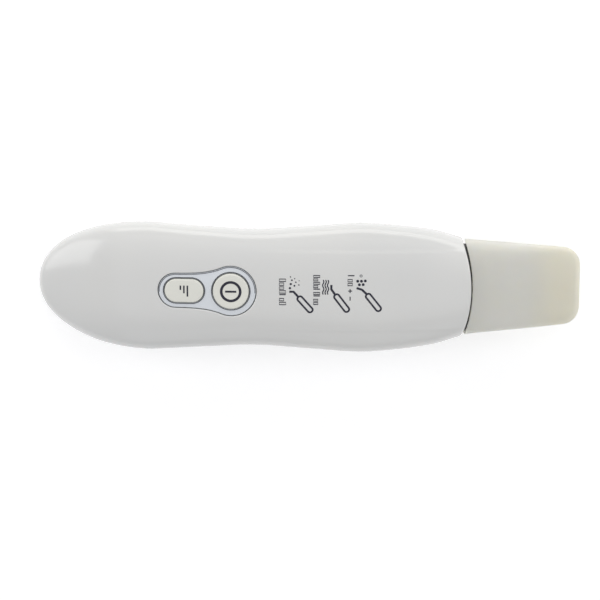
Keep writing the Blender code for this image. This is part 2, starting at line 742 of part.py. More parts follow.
def tact_switch(which, centre_x):
    """A switch body with the plunger that its button pushes."""
    half = SWITCH_SIDE / 2
    top = PART_Z + SWITCH_HEIGHT
    body = block(f"{which}_switch_body", (centre_x - half, -half, PART_Z), (centre_x + half, half, top),
                 "black_plastic", bevel=0.3)
    well = rod(f"guide_{which}_well", (centre_x, 0, top - PLUNGER_DEPTH - BUTTON_TRAVEL - GAP),
               PLUNGER_R + GAP / 2, 6, sides=16)
    cut(body, well)
    crest = top + PLUNGER_PROUD
    profile = [(top - PLUNGER_DEPTH, 0), (top - PLUNGER_DEPTH, PLUNGER_R), (crest - 0.2, PLUNGER_R),
               (crest, PLUNGER_R - 0.2), (crest, 0)]
    plunger = turned(f"{which}_switch_plunger", profile, (centre_x, 0, 0), "button_white", sides=16)
    centred(plunger.name, plunger, (centre_x, 0, top))


# ---------------------------------------------------------------- electronics

def main_board():
    made = block("main_board", (BOARD_X[0], -BOARD_HALF_WIDTH, BOARD_Z[0]),
                 (BOARD_X[1], BOARD_HALF_WIDTH, BOARD_Z[1]), "board_green")
    for x in (-62.5, -1.5):
        for y in (11.0, -11.0):
            cut(made, rod("guide_board_hole", (x, y, 5), 1.2, 15, sides=12))
    return made


def flat_part(name, centre, size, height, finish, bevel=0.15):
    """A component that lies on the board."""
    low = (centre[0] - size[0] / 2, centre[1] - size[1] / 2, PART_Z)
    high = (centre[0] + size[0] / 2, centre[1] + size[1] / 2, PART_Z + height)
    return block(name, low, high, finish, bevel=bevel)


def mode_led(name, x, y):
    profile = [(0, 0), (0, 1.6), (1.2, 1.6), (1.2, 1.2), (2.0, 1.1), (2.5, 0.7), (2.7, 0)]
    return turned(name, profile, (x, y, PART_Z), "led_clear", sides=12)


def transformer():
    """An E-core round a wound bobbin."""
    x, height = -7.0, 6.0
    core = flat_part("transformer_core", (x, 0), (10.0, 9.0), height, "black_plastic", bevel=0.2)
    room = block("guide_core_room", (x - 3.6, -9, PART_Z + 1.2), (x + 3.6, 9, PART_Z + height - 1.2),
                 "black_plastic")
    cut(core, room)
    low, high = PART_Z + 1.2 + GAP, PART_Z + height - 1.2 - GAP
    middle = (low + high) / 2
    radius = (high - low) / 2
    profile = [(-5.6, 0), (-5.6, radius), (-4.8, radius), (-4.8, radius - 0.35), (4.8, radius - 0.35),
               (4.8, radius), (5.6, radius), (5.6, 0)]
    turned("transformer_winding", profile, (x, 0, middle), "copper", along=(0, 1, 0), sides=16)


def filter_capacitor():
    profile = [(0, 0), (0, 2.4), (0.4, 2.5), (6.6, 2.5), (7.0, 2.2), (7.0, 0)]
    return turned("filter_capacitor", profile, (-14.5, 9.0, PART_Z + 2.5), "battery_wrap",
                  along=(1, 0, 0), sides=16)


def electronics():
    main_board()
    tact_switch("power", POWER_X)
    tact_switch("mode", MODE_X)
    flat_part("controller_chip", (-55.5, 0), (7.0, 7.0), 1.2, "black_plastic")
    flat_part("charger_chip", (-58.0, 9.0), (5.0, 4.0), 1.4, "black_plastic")
    transformer()
    filter_capacitor()
    for name, y in (("driver_transistor_left", 11.5), ("driver_transistor_right", -11.5)):
        flat_part(name, (-25.0, y), (4.5, 4.0), 2.2, "black_plastic")
    flat_part("battery_socket", (-16.0, -9.0), (6.0, 5.0), 4.0, "foam_grey", bevel=0.2)
    for name, x, y in (("mode_led_left", -36.2, 5.0), ("mode_led_centre", -36.2, 0.0),
                       ("mode_led_right", -36.2, -5.0)):
        mode_led(name, x, y)


def battery():
    block("battery_cell", BATTERY_LOW, BATTERY_HIGH, "battery_wrap", bevel=1.0)
    block("battery_pad", (BATTERY_LOW[0] + 4, BATTERY_LOW[1] + 7, 2.5),
          (BATTERY_HIGH[0] - 4, BATTERY_HIGH[1] - 7, BATTERY_LOW[2] - GAP), "foam_grey")


# ---------------------------------------------------------------- transducer

def ring_profile(length, outer, bore):
    return [(0, bore), (0, outer), (length, outer), (length, bore)]


def transducer():
    """The stack that shakes the blade: back mass, two piezo rings between electrodes, and the horn."""
    axis = (1, 0, 0)
    place = Vector((BACK_MASS_X[0], 0, STACK_Z))
    mass_profile = ring_profile(BACK_MASS_X[1] - BACK_MASS_X[0], STACK_R, BOLT_R + GAP)
    turned("back_mass", mass_profile, place, "steel", axis)
    x = BACK_MASS_X[1] + STACK_GAP
    for name, piezo in (("electrode_rear", "piezo_ring_rear"), ("electrode_front", "piezo_ring_front")):
        disc_profile = ring_profile(ELECTRODE_THICK, STACK_R, PIEZO_BORE_R)
        disc = turned(name, disc_profile, (x, 0, STACK_Z), "copper", axis)
        join(disc, block(f"guide_{name}_tab", (x, -1, STACK_Z + STACK_R - 0.6),
                         (x + ELECTRODE_THICK, 1, STACK_Z + STACK_R + 1.6), "copper"))
        x += ELECTRODE_THICK + STACK_GAP
        turned(piezo, ring_profile(PIEZO_THICK, STACK_R, PIEZO_BORE_R), (x, 0, STACK_Z), "ceramic", axis)
        x += PIEZO_THICK + STACK_GAP
    horn(x)
    bolt_start = BACK_MASS_X[0] - STACK_GAP
    bolt_profile = [(-3.2, 0), (-3.2, 3.2), (-2.8, 3.5), (0, 3.5), (0, BOLT_R), (24.0, BOLT_R),
                    (24.5, BOLT_R - 0.4), (24.5, 0)]
    clamp_bolt = turned("clamp_bolt", bolt_profile, (bolt_start, 0, STACK_Z), "steel", axis)
    socket = turned("guide_bolt_socket", [(-4, 0), (-4, 1.7), (-1.2, 1.7), (-1.2, 0)],
                    (bolt_start, 0, STACK_Z), "steel", axis, sides=6)
    cut(clamp_bolt, socket)
    turned("mount_ring_rear", ring_profile(RING_WIDTH, REAR_RING_R, STACK_R + GAP),
           (REAR_RING_X, 0, STACK_Z), "rubber_black", axis)
    groove = [(0, 7.0), (0, FRONT_RING_R), (RING_WIDTH, FRONT_RING_R), (RING_WIDTH, 7.0), (2.4, 7.0),
              (2.4, 7.8), (0.6, 7.8), (0.6, 7.0)]
    turned("mount_ring_front", groove, (FRONT_RING_X, 0, STACK_Z), "rubber_black", axis)


def horn(start_x):
    """Turned body with a nodal flange, a taper and a flat paddle for the blade."""
    flange = (FRONT_RING_X + 0.9, FRONT_RING_X + 2.1)
    bore_end = 31.0
    profile = [(start_x, BOLT_R + GAP), (start_x, STACK_R), (flange[0], STACK_R), (flange[0], 7.5),
               (flange[1], 7.5), (flange[1], STACK_R), (38.0, STACK_R), (44.5, 3.2), (44.5, 0),
               (bore_end, 0), (bore_end, BOLT_R + GAP)]
    turned_body = turned("horn", [(x, r) for x, r in horn_half(profile)], (0, 0, STACK_Z), "aluminium",
                         along=(1, 0, 0))
    paddle = block("guide_paddle", (PADDLE_X[0], -PADDLE_HALF_WIDTH, PADDLE_Z[0]),
                   (PADDLE_X[1], PADDLE_HALF_WIDTH, PADDLE_Z[1]), "aluminium")
    seat = block("guide_blade_seat", (PADDLE_X[0] - 0.5, -20, PADDLE_Z[1]),
                 (PADDLE_X[1] + 5, 20, PADDLE_Z[1] + 9), "aluminium")
    join(turned_body, paddle)
    cut(turned_body, seat)
    for y in (BLADE_SCREW_Y, -BLADE_SCREW_Y):
        cut(turned_body, rod("guide_thread", (BLADE_SCREW_X, y, 5), 1.0 + GAP, 20, sides=SMALL_ROUND))


def horn_half(profile):
    """The profile from the blind bore's end round to the tip, both on the axis."""
    tip = profile.index((44.5, 0))
    bore = profile[tip + 1:]
    return bore + profile[:tip + 1]


def blade_screw(name, y):
    head = BLADE_Z + BLADE_THICK + GAP
    profile = [(head - 4.2, 0), (head - 4.2, 1.0), (head, 1.0), (head, 1.9), (head + 0.9, 1.9),
               (head + 1.2, 1.6), (head + 1.2, 0)]
    made = turned(name, profile, (BLADE_SCREW_X, y, 0), "steel", sides=SMALL_ROUND)
    cut(made, block(f"guide_{name}_slot", (BLADE_SCREW_X - 3, y - 0.25, head + 0.6),
                    (BLADE_SCREW_X + 3, y + 0.25, head + 2), "steel"))
    return made


# ---------------------------------------------------------------- wiring

def wiring():
    radius = 0.45
    above = PART_Z + 1.6
    front_x = BATTERY_HIGH[0] + GAP
    battery_leads = (("battery_lead_red", -7.8, "wire_red"), ("battery_lead_black", -10.2, "wire_black"))
    for name, y, finish in battery_leads:
        tube(name, [(front_x, y, 7.0), (front_x + 8, y, 7.0), (3.8, y, 8.8), (3.8, y, PART_Z),
                    (0.0, y, above + 0.3), (-12.7, y, above)], radius, finish)
    rear_x = BACK_MASS_X[1] + STACK_GAP
    front_electrode_x = rear_x + ELECTRODE_THICK + PIEZO_THICK + 2 * STACK_GAP
    tab_z = STACK_Z + STACK_R + 1.0
    for name, x, y, finish in (("transducer_lead_ground", rear_x, 3.4, "wire_black"),
                               ("transducer_lead_drive", front_electrode_x, -3.4, "wire_red")):
        side = math.copysign(1, y)
        middle = x + ELECTRODE_THICK / 2
        tube(name, [(middle, side * (1.0 + GAP + radius), tab_z), (middle - 2.2, y, tab_z + 0.5),
                    (8.0, y, tab_z + 0.6), (2.0, y, 17.6), (-0.6, y, PART_Z)], radius, finish)
    stud_x = ELECTRODE_CENTRE_X + 15
    tube("electrode_lead", [(stud_x, 0, 2.7 + GAP), (stud_x - 0.4, 0, 4.4), (stud_x - 5.0, 0, 7.0),
                            (stud_x - 7.0, 0, BOARD_Z[0] - GAP)], radius, "wire_black")
    charge_leads = (("charge_lead_left", CONTACT_Y, "wire_red"),
                    ("charge_lead_right", -CONTACT_Y, "wire_black"))
    for name, y, finish in charge_leads:
        tube(name, [(CONTACT_X, y, contact_z() + 3.0 + GAP), (CONTACT_X + 1.0, y, contact_z() + 4.3),
                    (-76.0, y * 0.6, 8.0), (-70.0, y * 0.5, 10.9), (BOARD_X[0] - GAP, y * 0.5, 11.2)],
             radius, finish)


# ---------------------------------------------------------------- assembly

def main():
    for old in list(bpy.data.objects):
        bpy.data.objects.remove(old)
    front_shell()
    back_shell()
    button_plate()
    power_button()
    mode_button()
    electronics()
    battery()
    transducer()
    blade()
    blade_screw("blade_screw_left", BLADE_SCREW_Y)
    blade_screw("blade_screw_right", -BLADE_SCREW_Y)
    nose_collar()
    blade_cap()
    hand_electrode()
    charge_contact("charge_contact_left", CONTACT_Y)
    charge_contact("charge_contact_right", -CONTACT_Y)
    for number, (x, y, head_z) in enumerate(screw_places(), 1):
        housing_screw(f"housing_screw_{number}", x, y, head_z)
    wiring()


main()
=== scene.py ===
"""The looks of the skin scrubber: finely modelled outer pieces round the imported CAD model.

Sizes are in millimetres in the same frame as the CAD, and each maker scales its mesh to metres.
X runs from the round tail to the blade, Y across the handle and Z up through the front face.
"""

import json
import math

import bmesh
import bpy
from mathutils import Matrix, Vector
from mathutils.geometry import interpolate_bezier


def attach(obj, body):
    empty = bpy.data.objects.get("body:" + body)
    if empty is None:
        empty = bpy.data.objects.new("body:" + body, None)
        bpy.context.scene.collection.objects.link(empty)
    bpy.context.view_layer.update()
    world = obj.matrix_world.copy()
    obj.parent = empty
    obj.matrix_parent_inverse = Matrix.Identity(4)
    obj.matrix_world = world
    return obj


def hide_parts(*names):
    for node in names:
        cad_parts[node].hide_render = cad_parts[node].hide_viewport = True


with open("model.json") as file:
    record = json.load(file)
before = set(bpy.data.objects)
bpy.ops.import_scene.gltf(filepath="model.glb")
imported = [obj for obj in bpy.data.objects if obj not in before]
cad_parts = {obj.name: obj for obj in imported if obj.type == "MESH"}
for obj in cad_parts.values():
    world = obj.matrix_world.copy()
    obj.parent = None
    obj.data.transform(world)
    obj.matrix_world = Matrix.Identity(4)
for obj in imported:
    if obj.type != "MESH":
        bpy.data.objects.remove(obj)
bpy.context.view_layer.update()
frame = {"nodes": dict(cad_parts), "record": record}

MM = 0.001
GAP = 0.3
SHARP_ANGLE = math.radians(38)  # edges that turn by more than this stay crisp
HOUSING, CAP, POWER_KEY, MODE_KEY = "housing", "cap", "power_key", "mode_key"

# Body, as the CAD has it
TAIL_X, WIDEST_X, HEAD_X, HEAD_BOW = -98.0, -57.0, 58.5, 54.0
BOW_START_X = 30.0  # from here on the sections bow backwards at their sides
WALL = 2.0
TAIL_ROUND, SIDE_POWER, CROWN_POWER = 2.1, 2.8, 2.2
KEEL_OVERRUN, SOLE_Z, NOSE_LIFT_X, NOSE_LIFT = 1.06, 0.2, 25.0, 4.5
HALF_WIDTH = ((-57, 23.45), (-38, 22.15), (-19, 21.25), (0, 22.4), (18.8, 23.6),
              (33.5, 22.6), (41, 21.8), (50, 20.5), (58.5, 17.9))
PARTING = ((-98, 2.6), (-90, 3.8), (-75, 8.2), (-60, 11.3), (-40, 13.2), (-10, 14.7),
           (18, 15.4), (44, 14.7), (58.5, 13.6))
CROWN = ((-57, 7.4), (-28, 7.7), (18, 8.0), (58.5, 8.0))
LIP_ROUND, INNER_LIP_ROUND = 0.9, 0.3  # rounding of the head's end edge, outside and inside
CREASE_Y, CREASE_HALF, CREASE_DROP = 14.6, 0.65, 0.20  # the long fold on each side of the face
CREASE_FADE = (-28.0, 12.0)  # where the fold starts and where it is full, along X
CREASE_MARGIN = 1.4  # half the band round the fold that gets close-set points
OUTER_STEPS, CREASE_STEPS, MIDDLE_STEPS = 18, 6, 16
SHELL_STATIONS = 96

# Buttons
POWER_X, POWER_R = -27.7, 6.45
MODE_X, MODE_LENGTH, MODE_WIDTH = -44.5, 14.0, 8.5
PLATE_R, PLATE_SMALL_R, PLATE_SMALL_X = 8.95, 6.15, -47.55
PLATE_CENTRE_X, PLATE_SINK, PLATE_THICK = -36.0, 0.5, 1.5
PLATE_LEAVE = 112.0  # degrees round the large arc at which the flanks leave it
WINDOW_ROUND, PLATE_ROUND, KEY_ROUND = 0.35, 0.2, 0.45
BUTTON_PROUD, BUTTON_DEPTH = 0.25, 3.0
POWER_DISH, MODE_DISH = -0.12, 0.06  # rise of each key's middle over its edge

# Cap, collar and blade
CAP_TIP_X, CAP_MOUTH_X = 98.2, 59.1
CAP_WALL, CAP_CORNER, CAP_EDGE = 1.4, 5.8, 2.3
CAP_HALF_WIDTH = ((56.0, 17.6), (91.0, 14.3))
CAP_TOP, CAP_BOTTOM = ((58.9, 19.3), (98.2, 14.4)), ((58.9, 6.9), (98.2, 8.8))
COLLAR_INSET = CAP_WALL + 0.35
COLLAR_X = (55.0, 64.0)
BLADE_X, BLADE_Z, BLADE_THICK, BLADE_HALF_WIDTH = (43.5, 86.0), 12.8, 0.9, 12.0
BEND_X, BEND_SLOPE = 66.0, math.tan(math.radians(7))

# Underside
ELECTRODE_CENTRE_X, ELECTRODE_HALF, ELECTRODE_Z = -12.0, (18.0, 7.0), (0.0, 0.8)
CONTACT_X, CONTACT_Y, CONTACT_R, CONTACT_STEM_R = -83.0, 5.5, 2.1, 1.2
SCREWS = ((-72.0, 8.5, 1.9), (41.5, 14.2, 7.2))
SCREW_HEAD_R, SCREW_HEAD_THICK, SCREW_R = 2.2, 1.5, 1.1

# lift and thickness of the printed marks and of the painted shade lines
LINE_LIFT, LINE_THICK = 0.02, 0.04


# ---------------------------------------------------------------- mesh helpers

def finish_mesh(name, bm, finish, body, nodes=()):
    """Turns a bmesh in millimetres into a piece in metres that rides on a body.

    nodes are the CAD nodes it stands for, and finish is the material it gets.
    """
    bmesh.ops.recalc_face_normals(bm, faces=bm.faces)
    bmesh.ops.scale(bm, vec=(MM, MM, MM), verts=bm.verts)
    mesh = bpy.data.meshes.new(name)
    bm.to_mesh(mesh)
    bm.free()
    mesh.shade_smooth()
    mesh.set_sharp_from_angle(angle=SHARP_ANGLE)
    mesh.materials.append(finish)
    made = bpy.data.objects.new(name, mesh)
    bpy.context.scene.collection.objects.link(made)
    if body:
        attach(made, body)
    if nodes:
        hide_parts(*nodes)
    return made


def tool_mesh(bm):
    """A cutter for carve, made of a bmesh in millimetres."""
    return finish_mesh("tool", bm, bpy.data.materials[0], None)


def carve(target, tools):
    """Cuts the tools out of the target and removes them."""
    for tool in tools:
        made = target.modifiers.new("carve", "BOOLEAN")
        made.operation = "DIFFERENCE"
        made.solver = "EXACT"
        made.object = tool
    shaped = target.evaluated_get(bpy.context.evaluated_depsgraph_get())
    mesh = bpy.data.meshes.new_from_object(shaped)
    old = target.data
    target.modifiers.clear()
    target.data = mesh
    mesh.name = old.name
    bpy.data.meshes.remove(old)
    for tool in tools:
        bpy.data.objects.remove(tool)
    mesh.set_sharp_from_angle(angle=SHARP_ANGLE)


def bridge(bm, here, there, closed=True):
    """Faces between two rows of vertices."""
    count = len(here) if closed else len(here) - 1
    for j in range(count):
        k = (j + 1) % len(here)
        bm.faces.new((here[j], here[k], there[k], there[j]))


def loft(bm, loops, cap_start=True, cap_end=True):
    """Closed loops of points joined one after the other."""
    rings = [[bm.verts.new(p) for p in loop] for loop in loops]
    for here, there in zip(rings, rings[1:]):
        bridge(bm, here, there)
    if cap_start:
        bm.faces.new(rings[0])
    if cap_end:
        bm.faces.new(rings[-1])
    return rings


def turned(bm, profile, x, y, sides=48):
    """Spins a profile of (height, radius) round an upright axis."""
    verts = [bm.verts.new((x, y + radius, z)) for z, radius in profile]
    edges = [bm.edges.new(pair) for pair in zip(verts, verts[1:])]
    bmesh.ops.spin(bm, geom=verts + edges, cent=(x, y, 0), axis=(0, 0, 1), angle=math.tau, steps=sides)
    bmesh.ops.remove_doubles(bm, verts=bm.verts, dist=1e-4)


def smooth_through(knots, x):
    """Value at x of a smooth curve through the (x, value) knots."""
    last = len(knots) - 1
    i = max(0, min(last - 1, sum(x >= knot[0] for knot in knots) - 1))
    (x0, y0), (x1, y1) = knots[i], knots[i + 1]
    before, after = knots[max(i - 1, 0)], knots[min(i + 2, last)]
    slope0 = (y1 - before[1]) / (x1 - before[0])
    slope1 = (after[1] - y0) / (after[0] - x0)
    span = x1 - x0
    t = (x - x0) / span
    return (y0 * (2 * t**3 - 3 * t**2 + 1) + slope0 * span * (t**3 - 2 * t**2 + t)
            + y1 * (3 * t**2 - 2 * t**3) + slope1 * span * (t**3 - t**2))


def smooth_step(t):
    t = max(0.0, min(1.0, t))
    return t * t * (3 - 2 * t)


def signed_power(value, power):
    return math.copysign(abs(value) ** power, value)


def straight(ends, x):
    """Value at x of the straight line through two (x, value) ends."""
    (x0, y0), (x1, y1) = ends
    return y0 + (y1 - y0) * (x - x0) / (x1 - x0)


def spread(start, end, count):
    """Evenly spaced values, both ends included."""
    return [start + (end - start) * i / count for i in range(count + 1)]


# ---------------------------------------------------------------- body surface

def tail_share(x, inset=0.0):
    """How much of the full section is left at x, as the tail rounds off: 1 to 0."""
    if x >= WIDEST_X:
        return 1.0
    back = min(1.0, (WIDEST_X - x) / (WIDEST_X - TAIL_X - inset))
    return (1 - back**TAIL_ROUND) ** (1 / TAIL_ROUND)


def half_width(x, inset=0.0):
    return (smooth_through(HALF_WIDTH, max(x, WIDEST_X)) - inset) * tail_share(x, inset)


def parting_z(x):
    return smooth_through(PARTING, x)


def keel_z(x):
    lift = max(0.0, (x - NOSE_LIFT_X) / (HEAD_X - NOSE_LIFT_X)) ** 1.6
    return SOLE_Z + (NOSE_LIFT - SOLE_Z) * lift


def depth(x, inset, side):
    """Height of the front over the parting line (side 1), or depth of the back under it (-1)."""
    if side > 0:
        full = smooth_through(CROWN, max(x, WIDEST_X))
    else:
        full = (parting_z(x) - keel_z(x)) * KEEL_OVERRUN
    return (full - inset) * tail_share(x, inset)


def end_bow(x):
    """Factor of y squared by which a section bows back towards the tail."""
    return smooth_step((x - BOW_START_X) / (HEAD_X - BOW_START_X)) / (2 * HEAD_BOW)


def crease(x, y):
    """How far the face steps down outside its long folds."""
    fade = smooth_step((x - CREASE_FADE[0]) / (CREASE_FADE[1] - CREASE_FADE[0]))
    return CREASE_DROP * fade * smooth_step((abs(y) - CREASE_Y + CREASE_HALF) / (2 * CREASE_HALF))


def skin_z(x, y, inset=0.0, side=1):
    """Height of the front (side 1) or back (-1) skin, or of its inside at that inset."""
    share = min(1.0, abs(y / half_width(x, inset)))
    rise = depth(x, inset, side) * (1 - share**SIDE_POWER) ** (1 / CROWN_POWER)
    z = parting_z(x) + side * (rise + GAP / 2)
    if side < 0:
        return max(z, min(keel_z(x) + inset, parting_z(x) - GAP / 2))
    return z - crease(x, y) * min(1.0, rise / 3)


def section(x, inset, side):
    """Points of one section from +Y to -Y, close together at the folds and at the sides."""
    width = half_width(x, inset)
    narrowed = 1 - inset / 40
    fold = (CREASE_Y + CREASE_MARGIN) * tail_share(x, inset) * narrowed
    near = (CREASE_Y - CREASE_MARGIN) * tail_share(x, inset) * narrowed
    turn_end = math.acos((fold / width) ** (SIDE_POWER / 2))
    ys = [width * math.cos(turn) ** (2 / SIDE_POWER) for turn in spread(0, turn_end, OUTER_STEPS)]
    ys += spread(fold, near, CREASE_STEPS)[1:]
    ys += spread(near, 0, MIDDLE_STEPS)[1:]
    ys += [-y for y in reversed(ys[:-1])]
    bow = end_bow(x)
    return [Vector((x - bow * y * y, y, skin_z(x, y, inset, side))) for y in ys]


def tail_stations(tip_x, end_x, count):
    """Stations along X, close together at the round tail."""
    shares = [i / count for i in range(1, count + 1)]
    return [tip_x + (end_x - tip_x) * t * t * (1.7 - 0.7 * t) for t in shares]


def skin(bm, inset, side, count):
    """One skin of a half shell with a rounded end edge. Returns its rim from the tail round."""
    tip_x = TAIL_X + inset
    end_x = HEAD_X - inset * 1.1
    round_r = LIP_ROUND if inset == 0 else INNER_LIP_ROUND
    xs = [(x, inset) for x in tail_stations(tip_x, end_x - round_r, count)]
    for angle in (18, 36, 54, 72, 86):
        turn = math.radians(angle)
        xs.append((end_x - round_r + round_r * math.sin(turn), inset + round_r * (1 - math.cos(turn))))
    tip = bm.verts.new((tip_x, 0, parting_z(tip_x) + side * GAP / 2))
    rings = []
    for x, in_by in xs:
        if in_by == inset:
            points = section(x, inset, side)
        else:
            points = shrunk_section(x, inset, in_by - inset, side)
        rings.append([bm.verts.new(p) for p in points])
    for a, b in zip(rings[0], rings[0][1:]):
        bm.faces.new((tip, a, b))
    for here, there in zip(rings, rings[1:]):
        bridge(bm, here, there, closed=False)
    end = rings[-1]
    floor_z = parting_z(end_x) + side * GAP / 2
    feet = [bm.verts.new((v.co.x, v.co.y, floor_z)) for v in end[1:-1]]
    bm.faces.new((end[0], end[1], feet[0]))
    bm.faces.new((end[-1], end[-2], feet[-1]))
    for j in range(len(feet) - 1):
        bm.faces.new((end[j + 1], end[j + 2], feet[j + 1], feet[j]))
    return [tip] + [ring[0] for ring in rings] + feet + [ring[-1] for ring in reversed(rings)]


def shrunk_section(x, inset, by, side):
    """A section of the rounded end edge: the full section pulled in towards its middle."""
    points = section(x, inset, side)
    width, height = half_width(x, inset), max(depth(x, inset, side), 1.0)
    base = parting_z(x) + side * GAP / 2
    for p in points:
        p.y *= 1 - by / width
        p.z = base + (p.z - base) * (1 - by / height)
    return points


def half_shell(name, side, finish, nodes):
    """The front (side 1) or back (-1) shell as a closed wall, before its openings are cut."""
    bm = bmesh.new()
    outer = skin(bm, 0.0, side, SHELL_STATIONS)
    inner = skin(bm, WALL, side, SHELL_STATIONS)
    for i in range(len(outer)):
        k = (i + 1) % len(outer)
        bm.faces.new((outer[i], outer[k], inner[k], inner[i]))
    return finish_mesh(name, bm, finish, HOUSING, nodes)


# ---------------------------------------------------------------- outlines

def arc(centre_x, radius, start, end, count):
    """Points of an arc about the middle line, between two angles in degrees."""
    angles = [math.radians(a) for a in spread(start, end, count)]
    return [(centre_x + radius * math.cos(a), radius * math.sin(a)) for a in angles]


def circle(centre_x, radius, sides=72):
    return arc(centre_x, radius, 0, 360, sides)[:-1]


def stadium(centre_x, length, width, per_end=24):
    reach = (length - width) / 2
    return (arc(centre_x + reach, width / 2, -90, 90, per_end)
            + arc(centre_x - reach, width / 2, 90, 270, per_end))


def keyhole(grow=0.0):
    """Outline of the plate round both buttons: two arcs joined by S-shaped flanks."""
    big, small = PLATE_R + grow, PLATE_SMALL_R + grow
    leave = math.radians(PLATE_LEAVE)
    large = arc(POWER_X, big, -PLATE_LEAVE, PLATE_LEAVE, 56)
    start = Vector((*large[-1], 0))
    way = Vector((-math.sin(leave), math.cos(leave), 0))
    end = Vector((PLATE_SMALL_X, small, 0))
    flank = interpolate_bezier(start, start + way * 5, end + Vector((7, 0, 0)), end, 22)[1:-1]
    upper = [(p.x, p.y) for p in flank]
    lower = [(x, -y) for x, y in reversed(upper)]
    return large + upper + arc(PLATE_SMALL_X, small, 90, 270, 30) + lower


def on_face(outline, offset):
    """An outline laid on the front face, at that height over it."""
    return [Vector((x, y, skin_z(x, y) + offset)) for x, y in outline]


def rounded_top(outline_at, top, radius, bottom, steps=6):
    """Loops of a piece that follows the face, from its base up over a rounded edge."""
    loops = [on_face(outline_at(0), bottom)]
    for angle in spread(0, 90, steps):
        turn = math.radians(angle)
        shrink = radius * (1 - math.cos(turn))
        loops.append(on_face(outline_at(-shrink), top - radius + radius * math.sin(turn)))
    return loops


def fan_in(bm, ring, centre_x, steps, height):
    """Closes a loop with rings that shrink to its centre, so that the top follows the face."""
    outline = [(v.co.x, v.co.y) for v in ring]
    last = ring
    for share in spread(1, 0, steps)[1:-1]:
        inner = [(centre_x + (x - centre_x) * share, y * share) for x, y in outline]
        loop = [bm.verts.new(p) for p in on_face(inner, height(share))]
        bridge(bm, last, loop)
        last = loop
    middle = bm.verts.new(on_face([(centre_x, 0)], height(0))[0])
    for j in range(len(last)):
        bm.faces.new((last[j], last[(j + 1) % len(last)], middle))


# ---------------------------------------------------------------- materials

def shader_of(name):
    made = bpy.data.materials.new(name)
    made.use_nodes = True
    return made, made.node_tree, made.node_tree.nodes["Principled BSDF"]


def texture_space(tree, stretch=(1, 1, 1)):
    """Object coordinates in metres, stretched."""
    place = tree.nodes.new("ShaderNodeTexCoord")
    mapping = tree.nodes.new("ShaderNodeMapping")
    mapping.inputs["Scale"].default_value = stretch
    tree.links.new(place.outputs["Object"], mapping.inputs["Vector"])
    return mapping.outputs["Vector"]


def noise(tree, space, scale, detail=3.0, roughness=0.5):
    made = tree.nodes.new("ShaderNodeTexNoise")
    made.inputs["Scale"].default_value = scale
    made.inputs["Detail"].default_value = detail
    made.inputs["Roughness"].default_value = roughness
    tree.links.new(space, made.inputs["Vector"])
    return made.outputs["Fac"]


def between(tree, value, low, high, from_low=0.35, from_high=0.65):
    made = tree.nodes.new("ShaderNodeMapRange")
    made.inputs["From Min"].default_value = from_low
    made.inputs["From Max"].default_value = from_high
    made.inputs["To Min"].default_value = low
    made.inputs["To Max"].default_value = high
    tree.links.new(value, made.inputs["Value"])
    return made.outputs["Result"]


def colour_between(tree, value, dark, light, from_low=0.35, from_high=0.65):
    ramp = tree.nodes.new("ShaderNodeValToRGB")
    ramp.color_ramp.elements[0].position = from_low
    ramp.color_ramp.elements[1].position = from_high
    ramp.color_ramp.elements[0].color = (*dark, 1)
    ramp.color_ramp.elements[1].color = (*light, 1)
    tree.links.new(value, ramp.inputs["Fac"])
    return ramp.outputs["Color"]


def bump(tree, shader, height, strength, distance):
    made = tree.nodes.new("ShaderNodeBump")
    made.inputs["Strength"].default_value = strength
    made.inputs["Distance"].default_value = distance
    tree.links.new(height, made.inputs["Height"])
    tree.links.new(made.outputs["Normal"], shader.inputs["Normal"])


def varied(name, colour, spread_by, roughness, scale, grain, stretch=(1, 1, 1), metallic=0.0, coat=0.0):
    """A material whose colour and roughness drift a little and whose surface has a fine grain.

    spread_by is how far the colour drifts, roughness is (low, high), and grain is (scale, bump
    distance in metres).
    """
    made, tree, shader = shader_of(name)
    drift = noise(tree, texture_space(tree), scale)
    dark = tuple(c * (1 - spread_by) for c in colour)
    light = tuple(min(1.0, c * (1 + spread_by)) for c in colour)
    tree.links.new(colour_between(tree, drift, dark, light), shader.inputs["Base Color"])
    fine = noise(tree, texture_space(tree, stretch), grain[0], detail=4.0)
    tree.links.new(between(tree, fine, *roughness), shader.inputs["Roughness"])
    bump(tree, shader, fine, 1.0, grain[1])
    shader.inputs["Metallic"].default_value = metallic
    shader.inputs["Coat Weight"].default_value = coat
    shader.inputs["Coat Roughness"].default_value = 0.06
    return made


def shell_white():
    """Polished white ABS: a clear, slightly wavy gloss over a warm body with faint cool patches."""
    made, tree, shader = shader_of("polished_white")
    space = texture_space(tree)
    drift = noise(tree, space, 18.0, detail=2.0)
    tree.links.new(colour_between(tree, drift, (0.715, 0.718, 0.715), (0.745, 0.745, 0.735)),
                   shader.inputs["Base Color"])
    smudge = noise(tree, space, 160.0, detail=5.0, roughness=0.6)
    tree.links.new(between(tree, smudge, 0.14, 0.24), shader.inputs["Roughness"])
    shader.inputs["Coat Weight"].default_value = 0.35
    shader.inputs["Coat Roughness"].default_value = 0.14
    shader.inputs["Subsurface Weight"].default_value = 0.08
    shader.inputs["Subsurface Radius"].default_value = (1.0, 0.9, 0.8)
    shader.inputs["Subsurface Scale"].default_value = 0.001
    bump(tree, shader, noise(tree, space, 900.0, detail=1.0), 0.5, 0.000004)
    return made


